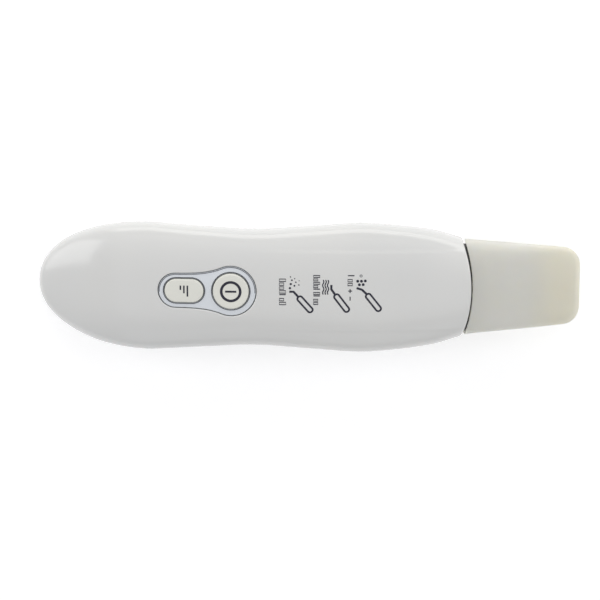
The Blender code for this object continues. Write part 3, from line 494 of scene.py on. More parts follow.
def cap_ivory():
    """Frosted translucent ivory, warmer at the thick tip, with the steel behind it showing faintly."""
    made, tree, shader = shader_of("frosted_ivory")
    space = texture_space(tree)
    flow = noise(tree, texture_space(tree, (0.4, 1.0, 1.0)), 60.0, detail=3.0)
    body = colour_between(tree, flow, (0.915, 0.905, 0.845), (0.95, 0.94, 0.885))
    parts = tree.nodes.new("ShaderNodeSeparateXYZ")
    tree.links.new(space, parts.inputs["Vector"])
    tint = tree.nodes.new("ShaderNodeMix")
    tint.data_type = "RGBA"
    tint.blend_type = "MULTIPLY"
    tint.inputs["B"].default_value = (1.0, 0.98, 0.915, 1)
    tree.links.new(between(tree, parts.outputs["X"], 0.0, 1.0, 0.078, 0.089), tint.inputs["Factor"])
    tree.links.new(body, tint.inputs["A"])
    tree.links.new(tint.outputs["Result"], shader.inputs["Base Color"])
    frost = noise(tree, space, 1400.0, detail=3.0)
    tree.links.new(between(tree, frost, 0.32, 0.46), shader.inputs["Roughness"])
    shader.inputs["Transmission Weight"].default_value = 0.38
    shader.inputs["IOR"].default_value = 1.25
    shader.inputs["Subsurface Weight"].default_value = 0.25
    shader.inputs["Subsurface Radius"].default_value = (1.0, 0.85, 0.6)
    shader.inputs["Subsurface Scale"].default_value = 0.002
    bump(tree, shader, frost, 0.5, 0.00001)
    return made


def brushed(name, stretch, colour=(0.62, 0.62, 0.63), roughness=(0.20, 0.34)):
    return varied(name, colour, 0.04, roughness, 40.0, (90.0, 0.000006), stretch=stretch, metallic=1.0)


def board_green():
    """Solder mask with a fine pattern of tracks under it."""
    made, tree, shader = shader_of("solder_mask")
    tracks = tree.nodes.new("ShaderNodeTexBrick")
    tracks.inputs["Color1"].default_value = (0.02, 0.16, 0.08, 1)
    tracks.inputs["Color2"].default_value = (0.03, 0.22, 0.11, 1)
    tracks.inputs["Mortar"].default_value = (0.10, 0.32, 0.14, 1)
    tracks.inputs["Scale"].default_value = 300.0
    tracks.inputs["Mortar Size"].default_value = 0.06
    tree.links.new(texture_space(tree), tracks.inputs["Vector"])
    tree.links.new(tracks.outputs["Color"], shader.inputs["Base Color"])
    bump(tree, shader, tracks.outputs["Fac"], 0.4, 0.00003)
    shader.inputs["Roughness"].default_value = 0.35
    return made


def outer_finishes():
    """The finishes of what is seen from outside."""
    return {
        "shell": shell_white(),
        "cap": cap_ivory(),
        "plate": varied("satin_blue_grey", (0.74, 0.775, 0.825), 0.02, (0.28, 0.38), 60.0,
                        (1800.0, 0.000008)),
        "button": varied("satin_warm_white", (0.80, 0.80, 0.745), 0.02, (0.30, 0.42), 80.0,
                         (2200.0, 0.00001)),
        # navy ink of the printed marks; the same colour paints the shade lines round the plate's
        # openings and along its upper edge
        "ink": varied("ink_navy", (0.012, 0.013, 0.030), 0.15, (0.45, 0.6), 300.0, (3000.0, 0.000003)),
        "collar": varied("moulded_dark_grey", (0.09, 0.09, 0.095), 0.08, (0.5, 0.65), 120.0,
                         (2500.0, 0.00002)),
        "blade": brushed("brushed_blade", (1.0, 26.0, 1.0), (0.47, 0.47, 0.48)),
        "electrode": brushed("brushed_electrode", (1.0, 22.0, 1.0), (0.60, 0.60, 0.61), (0.24, 0.38)),
        "screw": varied("turned_steel", (0.50, 0.50, 0.51), 0.05, (0.25, 0.4), 200.0, (1500.0, 0.00001),
                        metallic=1.0),
    }


def inner_finishes():
    """The finishes of the CAD material slots used inside."""
    return {
        "steel": varied("machined_steel", (0.55, 0.55, 0.56), 0.05, (0.25, 0.4), 90.0, (700.0, 0.00001),
                        (12.0, 1.0, 1.0), metallic=1.0),
        "aluminium": varied("turned_aluminium", (0.76, 0.77, 0.78), 0.03, (0.3, 0.42), 80.0,
                            (600.0, 0.00001), (14.0, 1.0, 1.0), metallic=1.0),
        "copper": varied("copper_alloy", (0.83, 0.50, 0.28), 0.08, (0.25, 0.4), 200.0, (900.0, 0.00001),
                         metallic=1.0),
        "ceramic": varied("fired_ceramic", (0.70, 0.66, 0.55), 0.05, (0.5, 0.65), 300.0,
                          (2500.0, 0.00002)),
        "rubber_black": varied("moulded_rubber", (0.03, 0.03, 0.03), 0.2, (0.7, 0.85), 200.0,
                               (2000.0, 0.00003)),
        "board_green": board_green(),
        "black_plastic": varied("chip_epoxy", (0.022, 0.022, 0.024), 0.2, (0.4, 0.55), 400.0,
                                (4000.0, 0.00001)),
        "battery_wrap": varied("shrink_wrap", (0.08, 0.18, 0.40), 0.06, (0.22, 0.36), 60.0,
                               (400.0, 0.00004)),
        "foam_grey": varied("open_foam", (0.22, 0.22, 0.23), 0.25, (0.85, 0.95), 800.0,
                            (1500.0, 0.0002)),
        "led_clear": varied("cast_resin", (0.72, 0.82, 0.86), 0.03, (0.08, 0.16), 300.0,
                            (900.0, 0.000005), coat=0.5),
        "wire_red": varied("wire_sleeve_red", (0.55, 0.03, 0.03), 0.08, (0.35, 0.5), 300.0,
                           (1800.0, 0.00001)),
        "wire_black": varied("wire_sleeve_black", (0.02, 0.02, 0.02), 0.2, (0.35, 0.5), 300.0,
                             (1800.0, 0.00001)),
    }


def repaint_cad_nodes(finishes):
    """Gives every carried-over CAD node the detailed finish of its material slot."""
    shared = {"button_white": "button", "cap_ivory": "cap", "collar_grey": "collar",
              "shell_white": "shell", "plate_blue": "plate"}
    slots = {entry["node"]: entry["material_slot"] for entry in frame["record"]["subparts"]}
    for name, node in frame["nodes"].items():
        slot_name = slots[name]
        finish = finishes[shared.get(slot_name, slot_name)]
        for slot in node.material_slots:
            slot.material = finish


# ---------------------------------------------------------------- housing

def plate_window():
    """The tool for the plate's opening: straight below the face and flared over its rounded edge."""
    bm = bmesh.new()
    radius = WINDOW_ROUND
    loops = [on_face(keyhole(GAP), -7.0), on_face(keyhole(GAP), -radius)]
    for angle in (22, 45, 66, 82):
        turn = math.radians(angle)
        outline = keyhole(GAP + radius * (1 - math.cos(turn)))
        loops.append(on_face(outline, -radius * (1 - math.sin(turn))))
    loops.append(on_face(keyhole(GAP + radius + 0.25), 0.3))
    loft(bm, loops)
    return tool_mesh(bm)


def nose_opening():
    """The tool for the opening that the collar stands in."""
    bm = bmesh.new()
    loft(bm, [cap_loop(x, COLLAR_INSET - GAP) for x in (50.5, 66.0)])
    return tool_mesh(bm)


def smooth_near_window(shell):
    """Sets the face's own normals round the plate, so that the opening leaves its reflections even."""
    mesh = shell.data
    custom = [Vector((0, 0, 0))] * len(mesh.loops)
    step = 0.05
    for polygon in mesh.polygons:
        for i in polygon.loop_indices:
            place = mesh.vertices[mesh.loops[i].vertex_index].co / MM
            if not (-66 < place.x < -8 and abs(place.y) < 14 and place.z > 10):
                continue
            if abs(place.z - skin_z(place.x, place.y)) > 0.02:
                continue
            slope_x = (skin_z(place.x + step, place.y) - skin_z(place.x - step, place.y)) / (2 * step)
            slope_y = (skin_z(place.x, place.y + step) - skin_z(place.x, place.y - step)) / (2 * step)
            own = Vector((-slope_x, -slope_y, 1)).normalized()
            if polygon.normal.dot(own) > 0.97:
                custom[i] = own
    mesh.normals_split_custom_set(custom)


def front_cover(finishes):
    made = half_shell("front_cover", 1, finishes["shell"], ["front_shell"])
    carve(made, [plate_window(), nose_opening()])
    smooth_near_window(made)
    return made


def flared_hole(x, y, surface_z, radius, depth_z, chamfer=0.25):
    """A tool for a round hole from below, chamfered at the surface."""
    bm = bmesh.new()
    wide = radius + chamfer
    profile = [(-3, 0), (-3, wide), (surface_z, wide), (surface_z + chamfer, radius),
               (depth_z, radius), (depth_z, 0)]
    turned(bm, profile, x, y, 40)
    return tool_mesh(bm)


def stadium_pocket(grow, top_z):
    """The tool for the electrode's seat, chamfered at the surface."""
    bm = bmesh.new()
    length, width = 2 * (ELECTRODE_HALF[0] + grow), 2 * (ELECTRODE_HALF[1] + grow)
    loops = []
    for more, z in ((0.25, -2.0), (0.25, 0.0), (0.0, 0.25), (0.0, top_z)):
        outline = stadium(ELECTRODE_CENTRE_X, length + 2 * more, width + 2 * more)
        loops.append([Vector((x, y, z)) for x, y in outline])
    loft(bm, loops)
    return tool_mesh(bm)


def belly_z(x, y):
    return skin_z(x, y, 0.0, -1)


def screw_places():
    """(x, y, height of the head's outer face) of the four screws."""
    for x, y, head_z in SCREWS:
        yield x, y, head_z
        yield x, -y, head_z


def back_cover(finishes):
    made = half_shell("back_cover", -1, finishes["shell"], ["back_shell"])
    tools = [nose_opening(), stadium_pocket(GAP, ELECTRODE_Z[1] + GAP)]
    for x, y, head_z in screw_places():
        seat_z = head_z + SCREW_HEAD_THICK + GAP
        tools.append(flared_hole(x, y, belly_z(x, y), SCREW_HEAD_R + GAP, seat_z))
    seat_z = belly_z(CONTACT_X, 0) + 1.3
    for y in (CONTACT_Y, -CONTACT_Y):
        tools.append(flared_hole(CONTACT_X, y, belly_z(CONTACT_X, y), CONTACT_R + GAP, seat_z, 0.15))
    carve(made, tools)
    return made


def seam_lip(finishes):
    """The back shell's lip, which closes the parting line from inside; it is dark grey as painted
    shade, so that the parting gap reads as a dark line.
    """
    bm = bmesh.new()
    tip_x = TAIL_X + 0.9
    xs = tail_stations(tip_x, 52.0, 70)
    side = [(tip_x, 0.0)] + [(x - end_bow(x) * half_width(x) ** 2, half_width(x, 0.9)) for x in xs]
    rows = []
    for way in (1, -1):
        path = side if way > 0 else side[:0:-1]
        rows += [(x, way * y) for x, y in path]
    inner = []
    for x, y in rows:
        at_tip = abs(y) <= 1
        inner.append((x * 0.992, y) if at_tip else (x, y - math.copysign(0.5, y)))
    loops = []
    for line, rise in ((rows, -1.2), (rows, 0.9), (inner, 0.9), (inner, -1.2)):
        loops.append([bm.verts.new((x, y, parting_z(x) + rise)) for x, y in line])
    for here, there in zip(loops, loops[1:] + loops[:1]):
        bridge(bm, here, there, closed=False)
    bm.faces.new([loop[0] for loop in loops])
    bm.faces.new([loop[-1] for loop in loops])
    # painted shade: the collar's dark grey on the lip darkens the parting gap
    return finish_mesh("seam_lip", bm, finishes["collar"], HOUSING)


# ---------------------------------------------------------------- plate and buttons

def power_outline(grow):
    return circle(POWER_X, POWER_R + grow)


def mode_outline(grow):
    return stadium(MODE_X, MODE_LENGTH + 2 * grow, MODE_WIDTH + 2 * grow)


def button_surround(finishes):
    """The sunk plate with its two openings, whose edges are slightly rounded."""
    bm = bmesh.new()
    loops = rounded_top(keyhole, -PLATE_SINK, PLATE_ROUND, -PLATE_SINK - PLATE_THICK)
    rings = loft(bm, loops, cap_end=False)
    fan_in(bm, rings[-1], PLATE_CENTRE_X, 14, lambda share: -PLATE_SINK)
    made = finish_mesh("button_surround", bm, finishes["plate"], HOUSING, ["button_plate"])
    tools = []
    for outline_at in (power_outline, mode_outline):
        bm = bmesh.new()
        loft(bm, [on_face(outline_at(GAP), -4), on_face(outline_at(GAP), -PLATE_SINK - 0.08),
                  on_face(outline_at(GAP + 0.08), -PLATE_SINK),
                  on_face(outline_at(GAP + 0.4), -PLATE_SINK + 0.32)])
        tools.append(tool_mesh(bm))
    carve(made, tools)
    return made


def key_top(name, body, node, centre_x, outline_at, dish, finishes):
    """A button with a rounded edge and a slightly dished or crowned top."""
    bm = bmesh.new()
    loops = rounded_top(outline_at, BUTTON_PROUD, KEY_ROUND, BUTTON_PROUD - BUTTON_DEPTH)
    rings = loft(bm, loops, cap_end=False)
    fan_in(bm, rings[-1], centre_x, 10, lambda share: BUTTON_PROUD + dish * (1 - share**2))
    return finish_mesh(name, bm, finishes["button"], body, [node])


def keys(finishes):
    key_top("power_key_top", POWER_KEY, "power_button", POWER_X, power_outline, POWER_DISH, finishes)
    key_top("mode_key_top", MODE_KEY, "mode_button", MODE_X, mode_outline, MODE_DISH, finishes)


# ---------------------------------------------------------------- printed marks

def key_height(centre_x, dish, reach):
    """Height of a key's top over the face at a point."""
    def height(x, y):
        share = min(1.0, math.hypot(x - centre_x, y) / reach)
        return BUTTON_PROUD + dish * (1 - share * share)
    return height


def flush(x, y):
    return 0.0


def sunk(x, y):
    return -PLATE_SINK


def ink_and_shade_strip(bm, left, right, height):
    """A strip between two lines of points, laid on the surface, for print and for painted shade lines.
    """
    loops = []
    for lift in (LINE_LIFT - LINE_THICK / 2, LINE_LIFT + LINE_THICK / 2):
        for line in (left, right):
            loops.append([bm.verts.new((x, y, skin_z(x, y) + height(x, y) + lift)) for x, y in line])
    low_left, low_right, top_left, top_right = loops
    bridge(bm, top_left, top_right, closed=False)
    bridge(bm, low_right, low_left, closed=False)
    bridge(bm, low_left, top_left, closed=False)
    bridge(bm, top_right, low_right, closed=False)
    for i in (0, -1):
        bm.faces.new((low_left[i], low_right[i], top_right[i], top_left[i]))


def ink_and_shade_line(bm, points, width, height=flush, closed=False):
    """A line of even width through the points, for print and for painted shade lines."""
    points = [Vector(p) for p in points]
    count = len(points)
    left, right = [], []
    for i, here in enumerate(points):
        before = points[(i - 1) % count] if closed or i else here
        after = points[(i + 1) % count] if closed or i < count - 1 else here
        way = (after - before).normalized()
        across = Vector((-way.y, way.x)) * width / 2
        left.append(here + across)
        right.append(here - across)
    if closed:
        left.append(left[0].copy())
        right.append(right[0].copy())
    ink_and_shade_strip(bm, [tuple(p) for p in left], [tuple(p) for p in right], height)


def ring_points(x, y, radius, sides=36):
    return [(x + radius * math.cos(a), y + radius * math.sin(a)) for a in
            [math.tau * i / sides for i in range(sides)]]


def ink_dot(bm, x, y, radius, height=flush):
    """A filled printed dot."""
    ink_and_shade_line(bm, ring_points(x, y, radius / 2, 20), radius * 0.98, height, closed=True)


def power_mark(finishes):
    """The generic on-off sign: a ring with a bar in it."""
    bm = bmesh.new()
    height = key_height(POWER_X, POWER_DISH, POWER_R)
    ink_and_shade_line(bm, ring_points(POWER_X, 0, 3.4, 72), 0.95, height, closed=True)
    ink_and_shade_line(bm, [(x, 0) for x in spread(POWER_X - 2.0, POWER_X + 2.0, 8)], 0.7, height)
    return finish_mesh("power_mark", bm, finishes["ink"], POWER_KEY)


def painted_shade_lines(finishes):
    """Painted shade on the plate: dark lines along both of its openings, where the gaps round the keys
    are shaded, and a painted shadow along its upper edge, where the step down from the face shades it.
    """
    bm = bmesh.new()
    # painted shade: a dark line just outside the gap round each key
    for outline_at in (power_outline, mode_outline):
        ink_and_shade_line(bm, outline_at(GAP + 0.21), 0.26, sunk, closed=True)
    upper = [point for point in keyhole(-0.3) if point[1] > -1]
    upper.sort(key=lambda point: -math.atan2(point[1] + 1, point[0] - PLATE_CENTRE_X))
    # painted shadow along the plate's upper edge, under the step down from the face
    ink_and_shade_line(bm, upper, 0.2, sunk)
    return finish_mesh("painted_shade_lines", bm, finishes["ink"], HOUSING)


def mode_mark(finishes):
    """Three stacked bars of growing length, a generic sign for stepping through levels."""
    bm = bmesh.new()
    height = key_height(MODE_X, MODE_DISH, MODE_LENGTH / 2)
    for x, reach in ((MODE_X + 1.25, 2.0), (MODE_X, 1.4), (MODE_X - 1.25, 0.8)):
        ink_and_shade_line(bm, [(x, y) for y in spread(2.0, 2.0 - 2 * reach, 6)], 0.55, height)
    return finish_mesh("mode_mark", bm, finishes["ink"], MODE_KEY)


def wand(bm, neck, tip):
    """The little tool in each pictogram: a bent neck, then an outlined capsule as far as its tip."""
    neck = [Vector(p) for p in neck]
    start, tip = neck[-1], Vector(tip)
    way = (tip - start).normalized()
    across = Vector((-way.y, way.x)) * 0.95
    reach = 0.85  # of the round ends along the capsule
    outline = []
    for end, heading in ((start, -1), (tip, 1)):
        middle = end - way * heading * reach
        for a in spread(-90, 90, 12):
            turn = math.radians(a)
            outline.append(middle + heading * (way * reach * math.cos(turn) - across * math.sin(turn)))
    ink_and_shade_line(bm, [tuple(p) for p in outline], 0.66, closed=True)
    ink_and_shade_line(bm, [tuple(p) for p in neck], 0.8)


def dot_fan(bm, x, y):
    """Drops that fly off the tip, smaller further out."""
    drops = ((0, 0, 0.36), (0.3, 1.5, 0.34), (1.6, 0.9, 0.28), (0.7, 2.9, 0.26), (2.1, 2.2, 0.22),
             (3.2, 1.2, 0.2), (0.2, 4.1, 0.2), (1.7, 3.5, 0.17), (3.3, 2.7, 0.15))
    for dx, dy, radius in drops:
        ink_dot(bm, x + dx, y + dy, radius * 1.2)


def dot_cluster(bm, x, y):
    """A close group of drops, one of them open."""
    for dx, dy in ((0, 0), (1.35, 0.0), (2.7, 0.1), (0.6, -1.3), (1.95, -1.25)):
        ink_dot(bm, x + dx, y + dy, 0.52)
    ink_and_shade_line(bm, ring_points(x + 1.2, y + 1.9, 0.4, 20), 0.2, closed=True)


def waves(bm, x, y):
    """Three small ripples side by side."""
    length, pitch, swing = 5.3, 0.85, 0.22
    for i in range(3):
        middle = x + i * pitch
        line = [(middle + swing * math.sin(t * math.tau * 2), y - length * t) for t in spread(0, 1, 24)]
        ink_and_shade_line(bm, line, 0.4)


def caption(bm, x, top_y, pitch, marks):
    """A row of plain marks in place of a caption.

    T is a tall outlined box, b a low one, i a single stroke, + and - are those signs, and a
    space is an empty place.
    """
    for place, mark in enumerate(marks):
        y = top_y - place * pitch
        low_y = y - pitch + 0.55
        reach = 2.3 if mark in "Ti" else 1.6
        if mark in "Tb":
            ink_and_shade_line(bm, [(x, y), (x + reach, y), (x + reach, low_y), (x, low_y)], 0.34, closed=True)
        elif mark == "i":
            ink_and_shade_line(bm, [(x, y), (x + reach / 2, y), (x + reach, y)], 0.4)
        if mark in "+-":
            ink_and_shade_line(bm, [(x + 0.8, y + 0.7), (x + 0.8, y), (x + 0.8, y - 0.7)], 0.36)
        if mark == "+":
            ink_and_shade_line(bm, [(x + 0.1, y), (x + 0.62, y)], 0.36)
            ink_and_shade_line(bm, [(x + 0.98, y), (x + 1.5, y)], 0.36)


def pictograms(finishes):
    """Three generic signs for the three modes, each with a row of plain strokes beside it."""
    bm = bmesh.new()
    dot_fan(bm, -6.5, 1.5)
    wand(bm, ((-6.7, 0.2), (-5.2, 0.2), (-3.5, -1.7)), (1.3, -7.1))
    caption(bm, -10.3, 4.8, 1.42, "TbbTibT")
    waves(bm, 5.4, 4.6)
    wand(bm, ((8.3, 2.8), (8.3, 1.2), (9.7, -0.8)), (14.3, -6.9))
    caption(bm, 1.9, 6.2, 1.24, "TbTbiTibb")
    dot_cluster(bm, 17.7, 4.2)
    wand(bm, ((17.3, 1.7), (19.2, 1.1), (21.0, -0.6)), (25.7, -6.6))
    caption(bm, 14.2, 6.2, 1.4, "ibb + -")
    return finish_mesh("pictograms", bm, finishes["ink"], HOUSING)


# ---------------------------------------------------------------- cap, collar and blade

def corner_drop(x, end_x, radius):
    """How far a rounded corner has drawn in at x, before the end at end_x."""
    into = max(0.0, x - (end_x - radius))
    return radius - math.sqrt(max(0.0, radius * radius - into * into))


def cap_point(x, turn, inset):
    """A point of the cap's outside, or of its inside or the collar at that inset."""
    end_x = CAP_TIP_X - inset * 1.2
    half = straight(CAP_HALF_WIDTH, x) - inset - corner_drop(x, end_x, CAP_CORNER - inset * 0.5)
    pinch = inset + corner_drop(x, end_x, max(CAP_EDGE - inset, 0.8))
    top, bottom = straight(CAP_TOP, x) - pinch, straight(CAP_BOTTOM, x) + pinch
    y = half * signed_power(math.cos(turn), 2 / 4.5)
    z = (top + bottom) / 2 + (top - bottom) / 2 * signed_power(math.sin(turn), 2 / 3.4)
    bow = smooth_step((84 - x) / (84 - HEAD_X)) / (2 * HEAD_BOW)
    return Vector((x - bow * y * y, y, z))


def cap_loop(x, inset, count=96):
    """A section with points crowded at its rounded corners."""
    loop = []
    for j in range(count):
        t = j / count
        turn = math.tau * t - 0.16 * math.sin(4 * math.tau * t)
        loop.append(cap_point(x, turn, inset))
    return loop


def end_stations(end_x, radius, steps=10):
    """Stations that close in on an end as its corner turns."""
    return [end_x - radius + radius * math.sin(math.radians(a)) for a in spread(0, 90, steps)]


def cap_cover(finishes):
    """The cap: an outer and an inner skin joined over a rounded mouth."""
    bm = bmesh.new()
    mouth = CAP_MOUTH_X
    outer_end, inner_end = CAP_TIP_X, CAP_TIP_X - CAP_WALL * 1.2
    outer = [(mouth + 0.25, 0.0)] + [(x, 0.0) for x in spread(mouth + 1.2, 91.0, 22)]
    outer += [(x, 0.0) for x in end_stations(outer_end, CAP_CORNER, 14)]
    inner = [(mouth + 0.2, CAP_WALL)] + [(x, CAP_WALL) for x in spread(mouth + 1.2, 90.0, 18)]
    inner += [(x, CAP_WALL) for x in end_stations(inner_end, CAP_CORNER - CAP_WALL / 2, 10)]
    rim = [(mouth + 0.05, 0.15), (mouth, 0.4), (mouth, CAP_WALL - 0.3), (mouth + 0.06, CAP_WALL - 0.08)]
    stations = list(reversed(outer)) + rim + inner
    rings = [[bm.verts.new(p) for p in cap_loop(x, inset)] for x, inset in stations]
    for here, there in zip(rings, rings[1:]):
        bridge(bm, here, there)
    close_end(bm, rings[0])
    close_end(bm, rings[-1])
    return finish_mesh("cap_cover", bm, finishes["cap"], CAP, ["blade_cap"])


def close_end(bm, ring):
    """Closes the flat end of a loft with rings that shrink to its middle line."""
    middle = sum((v.co for v in ring), Vector()) / len(ring)
    last = ring
    for share in (0.66, 0.33):
        loop = []
        for v in ring:
            loop.append(bm.verts.new((v.co.x, middle.y + (v.co.y - middle.y) * (0.4 + 0.6 * share),
                                      middle.z + (v.co.z - middle.z) * share)))
        bridge(bm, last, loop)
        last = loop
    bm.faces.new(last)


def collar_ring(finishes):
    """The collar behind the cap, with the blade's slot and rounded edges."""
    bm = bmesh.new()
    start, end = COLLAR_X
    stations = [(start, COLLAR_INSET), (start + 0.3, COLLAR_INSET)]
    stations += [(x, COLLAR_INSET) for x in spread(start + 1.0, end - 0.8, 8)]
    for back, more in ((0.35, 0.12), (0.1, 0.35), (0.0, 0.7)):
        stations.append((end - back, COLLAR_INSET + more))
    loft(bm, [cap_loop(x, inset) for x, inset in stations])
    made = finish_mesh("collar_ring", bm, finishes["collar"], HOUSING, ["nose_collar"])
    bm = bmesh.new()
    half_y = BLADE_HALF_WIDTH + 0.4
    low, high = BLADE_Z - 0.5, BLADE_Z + BLADE_THICK + 0.5
    radius = (high - low) / 2
    outline = []
    for sign in (1, -1):
        for a in spread(-90, 90, 12):
            turn = math.radians(a)
            outline.append((sign * (half_y - radius + radius * math.cos(turn)),
                            (low + high) / 2 + sign * radius * math.sin(turn)))
    loft(bm, [[Vector((x, y, z)) for y, z in outline] for x in (40, 72)])
    carve(made, [tool_mesh(bm)])
    return made


def blade_half_width(x):
    """The blade widens past its narrow root."""
    root = 8.0
    return root + (BLADE_HALF_WIDTH - root) * smooth_step((x - 50) / 5)


def blade_drop(x):
    """The blade bends down past the collar, over a short radius."""
    into = x - BEND_X
    return BEND_SLOPE * (max(0.0, into) if abs(into) > 2 else (into + 2) ** 2 / 8)


def blade_plate(finishes):
    """The steel blade: softly broken edges, rounded tip corners and a thinned working edge."""
    bm = bmesh.new()
    tip, corner = BLADE_X[1], 1.6
    xs = [BLADE_X[0], BLADE_X[0] + 0.2] + spread(45, 64, 24) + spread(64.5, 68, 8) + spread(69.5, 80, 8)
    xs += spread(81, tip - corner, 5)
    xs += [tip - corner + corner * math.sin(math.radians(a)) for a in (15, 30, 45, 60, 75, 90)]
    loops = []
    for x in xs:
        half = blade_half_width(x) - corner_drop(x, tip, corner)
        if x < BLADE_X[0] + 0.1:
            half -= 0.2
        thin = 0.62 * smooth_step((x - (tip - 4.5)) / 4.5)
        low = BLADE_Z - blade_drop(x)
        high = low + BLADE_THICK - thin
        edge = 0.14 * (1 - thin)
        ys = [half, half - edge * 0.3, half - edge] + spread(half - 1.0, -half + 1.0, 14)
        ys += [-half + edge, -half + edge * 0.3, -half]
        top = [(y, high - edge * edge_share(y, half, edge)) for y in ys]
        bottom = [(y, low + edge * edge_share(y, half, edge)) for y in reversed(ys)]
        loops.append([Vector((x, y, z)) for y, z in top + bottom])
    loft(bm, loops)
    return finish_mesh("blade_plate", bm, finishes["blade"], HOUSING, ["blade"])


def edge_share(y, half, edge):
    """How far a rounded edge has dropped at y: 1 at the very side, 0 on the flat."""
    into = max(0.0, abs(y) - (half - edge)) / edge
    return 1 - math.sqrt(max(0.0, 1 - into * into))


# ---------------------------------------------------------------- underside

def palm_electrode(finishes):
    """The steel plate in the underside, with a softly rounded edge."""
    bm = bmesh.new()
    low, high = ELECTRODE_Z
    length, width = 2 * ELECTRODE_HALF[0], 2 * ELECTRODE_HALF[1]
    loops = []
    for shrink, z in ((0, high), (0, low + 0.2), (0.06, low + 0.06), (0.2, low), (1.2, low), (3.5, low),
                      (6.0, low)):
        outline = stadium(ELECTRODE_CENTRE_X, length - 2 * shrink, width - 2 * shrink)
        loops.append([Vector((x, y, z)) for x, y in outline])
    loft(bm, loops)
    return finish_mesh("palm_electrode", bm, finishes["electrode"], HOUSING, ["hand_electrode"])


def contact_studs(finishes):
    """The two charging contacts: a slightly dished head on a stem."""
    low = max(parting_z(CONTACT_X) - depth(CONTACT_X, 0.0, -1), SOLE_Z)
    shape = ((0.1, 0), (0.05, 0.8), (0.02, 1.4), (0.12, 1.85), (0.35, CONTACT_R - 0.02),
             (0.8, CONTACT_R), (0.8, CONTACT_STEM_R), (3.0, CONTACT_STEM_R), (3.0, 0))
    for name, y in (("left", CONTACT_Y), ("right", -CONTACT_Y)):
        bm = bmesh.new()
        turned(bm, [(low + rise, radius) for rise, radius in shape], CONTACT_X, y)
        finish_mesh(f"contact_stud_{name}", bm, finishes["screw"], HOUSING,
                    [f"charge_contact_{name}"])


def housing_screws(finishes):
    """Screws with a rounded head and a six-sided recess."""
    for number, (x, y, head) in enumerate(screw_places(), 1):
        bm = bmesh.new()
        step = head + SCREW_HEAD_THICK
        profile = [(head, 0), (head, 1.5), (head + 0.06, 1.8), (head + 0.22, 2.05),
                   (head + 0.5, SCREW_HEAD_R), (step, SCREW_HEAD_R), (step, SCREW_R),
                   (step + 8.3, SCREW_R), (step + 9.5, 0.3), (step + 9.5, 0)]
        turned(bm, profile, x, y)
        made = finish_mesh(f"screw_{number}", bm, finishes["screw"], HOUSING,
                           [f"housing_screw_{number}"])
        bm = bmesh.new()
        recess = [(head - 1, 0), (head - 1, 1.25), (head, 1.25), (head + 0.12, 1.1),
                  (head + 0.9, 1.1), (head + 0.9, 0)]
        turned(bm, recess, x, y, 6)
        carve(made, [tool_mesh(bm)])


# ---------------------------------------------------------------- studio

CAMERA_TILT = math.radians(13)
CAMERA_DISTANCE = 0.9
VIEW_WIDTH = 0.2166  # width of the picture at the object
AIM = Vector((-2.9, -4.65, 15.0)) * MM
SENSOR_WIDTH = 36.0
WORLD_STRENGTH, FLOOR_GLOW = 0.42, 0.3


def add_camera():
    data = bpy.data.cameras.new("camera")
    data.sensor_width = SENSOR_WIDTH
    data.lens = SENSOR_WIDTH * CAMERA_DISTANCE / VIEW_WIDTH
    data.clip_end = 20.0
    made = bpy.data.objects.new("camera", data)
    back = Vector((0, math.sin(CAMERA_TILT), math.cos(CAMERA_TILT)))
    up = Vector((0, math.cos(CAMERA_TILT), -math.sin(CAMERA_TILT)))
    right = Vector((1, 0, 0))
    turn = Matrix((right, up, back)).transposed()
    made.matrix_world = Matrix.Translation(AIM + back * CAMERA_DISTANCE) @ turn.to_4x4()
    bpy.context.scene.collection.objects.link(made)
    bpy.context.scene.camera = made


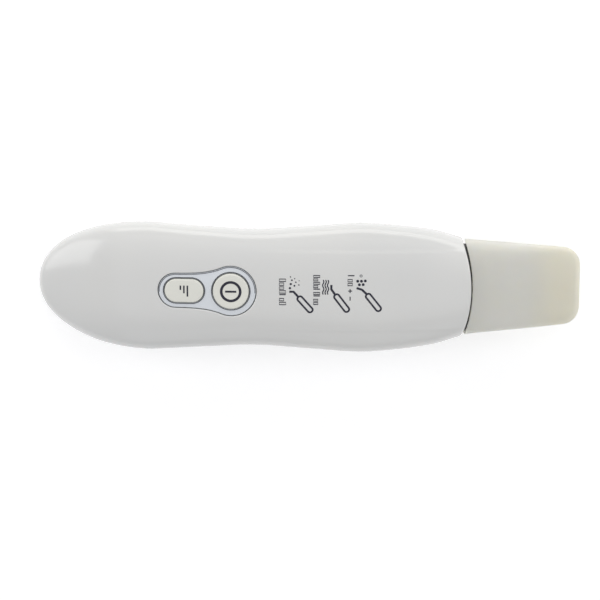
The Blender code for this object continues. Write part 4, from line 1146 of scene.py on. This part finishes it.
def add_light(name, place, aim, size, power, colour=(1, 1, 1)):
    """A rectangular lamp; places and sizes in metres."""
    data = bpy.data.lights.new(name, "AREA")
    data.shape = "RECTANGLE"
    data.size, data.size_y = size
    data.energy = power
    data.color = colour
    made = bpy.data.objects.new(name, data)
    made.location = place
    made.rotation_euler = (Vector(aim) - Vector(place)).to_track_quat("-Z", "Y").to_euler()
    bpy.context.scene.collection.objects.link(made)


def add_floor():
    """A pale floor that glows a little, so that it stays near white round the object."""
    bm = bmesh.new()
    bmesh.ops.create_grid(bm, x_segments=8, y_segments=8, size=3000.0)
    bmesh.ops.translate(bm, vec=(0, 0, -0.05), verts=bm.verts)
    material, _, shader = shader_of("pale_floor")
    shader.inputs["Base Color"].default_value = (0.94, 0.94, 0.95, 1)
    shader.inputs["Roughness"].default_value = 0.7
    shader.inputs["Emission Color"].default_value = (1, 1, 1, 1)
    shader.inputs["Emission Strength"].default_value = FLOOR_GLOW
    made = finish_mesh("floor", bm, material, None)


def add_studio():
    world = bpy.data.worlds.new("studio")
    world.use_nodes = True
    background = world.node_tree.nodes["Background"]
    background.inputs["Color"].default_value = (1.0, 1.0, 1.0, 1)
    background.inputs["Strength"].default_value = WORLD_STRENGTH
    bpy.context.scene.world = world
    bpy.context.scene.view_settings.view_transform = "Standard"
    add_light("key", (0.05, 0.95, 0.32), (0, 0, 0.01), (1.6, 0.4), 4.2, (1.0, 0.985, 0.95))
    add_light("top", (0.0, 0.2, 1.4), (0, 0, 0.01), (2.2, 2.0), 5.8)
    add_light("low_fill", (0.1, -0.8, 0.6), (0, 0, 0.01), (1.4, 0.5), 0.8, (0.95, 0.975, 1.0))
    add_light("nose_fill", (0.85, 0.25, 0.35), (0.05, 0, 0.01), (0.4, 0.4), 1.3)
    add_light("tail_fill", (-0.85, 0.2, 0.4), (-0.05, 0, 0.01), (0.5, 0.5), 1.6)
    add_floor()


# ---------------------------------------------------------------- build

finishes = {**outer_finishes(), **inner_finishes()}
repaint_cad_nodes(finishes)
front_cover(finishes)
back_cover(finishes)
seam_lip(finishes)
button_surround(finishes)
keys(finishes)
power_mark(finishes)
mode_mark(finishes)
painted_shade_lines(finishes)
pictograms(finishes)
cap_cover(finishes)
collar_ring(finishes)
blade_plate(finishes)
palm_electrode(finishes)
contact_studs(finishes)
housing_screws(finishes)
add_studio()
add_camera()
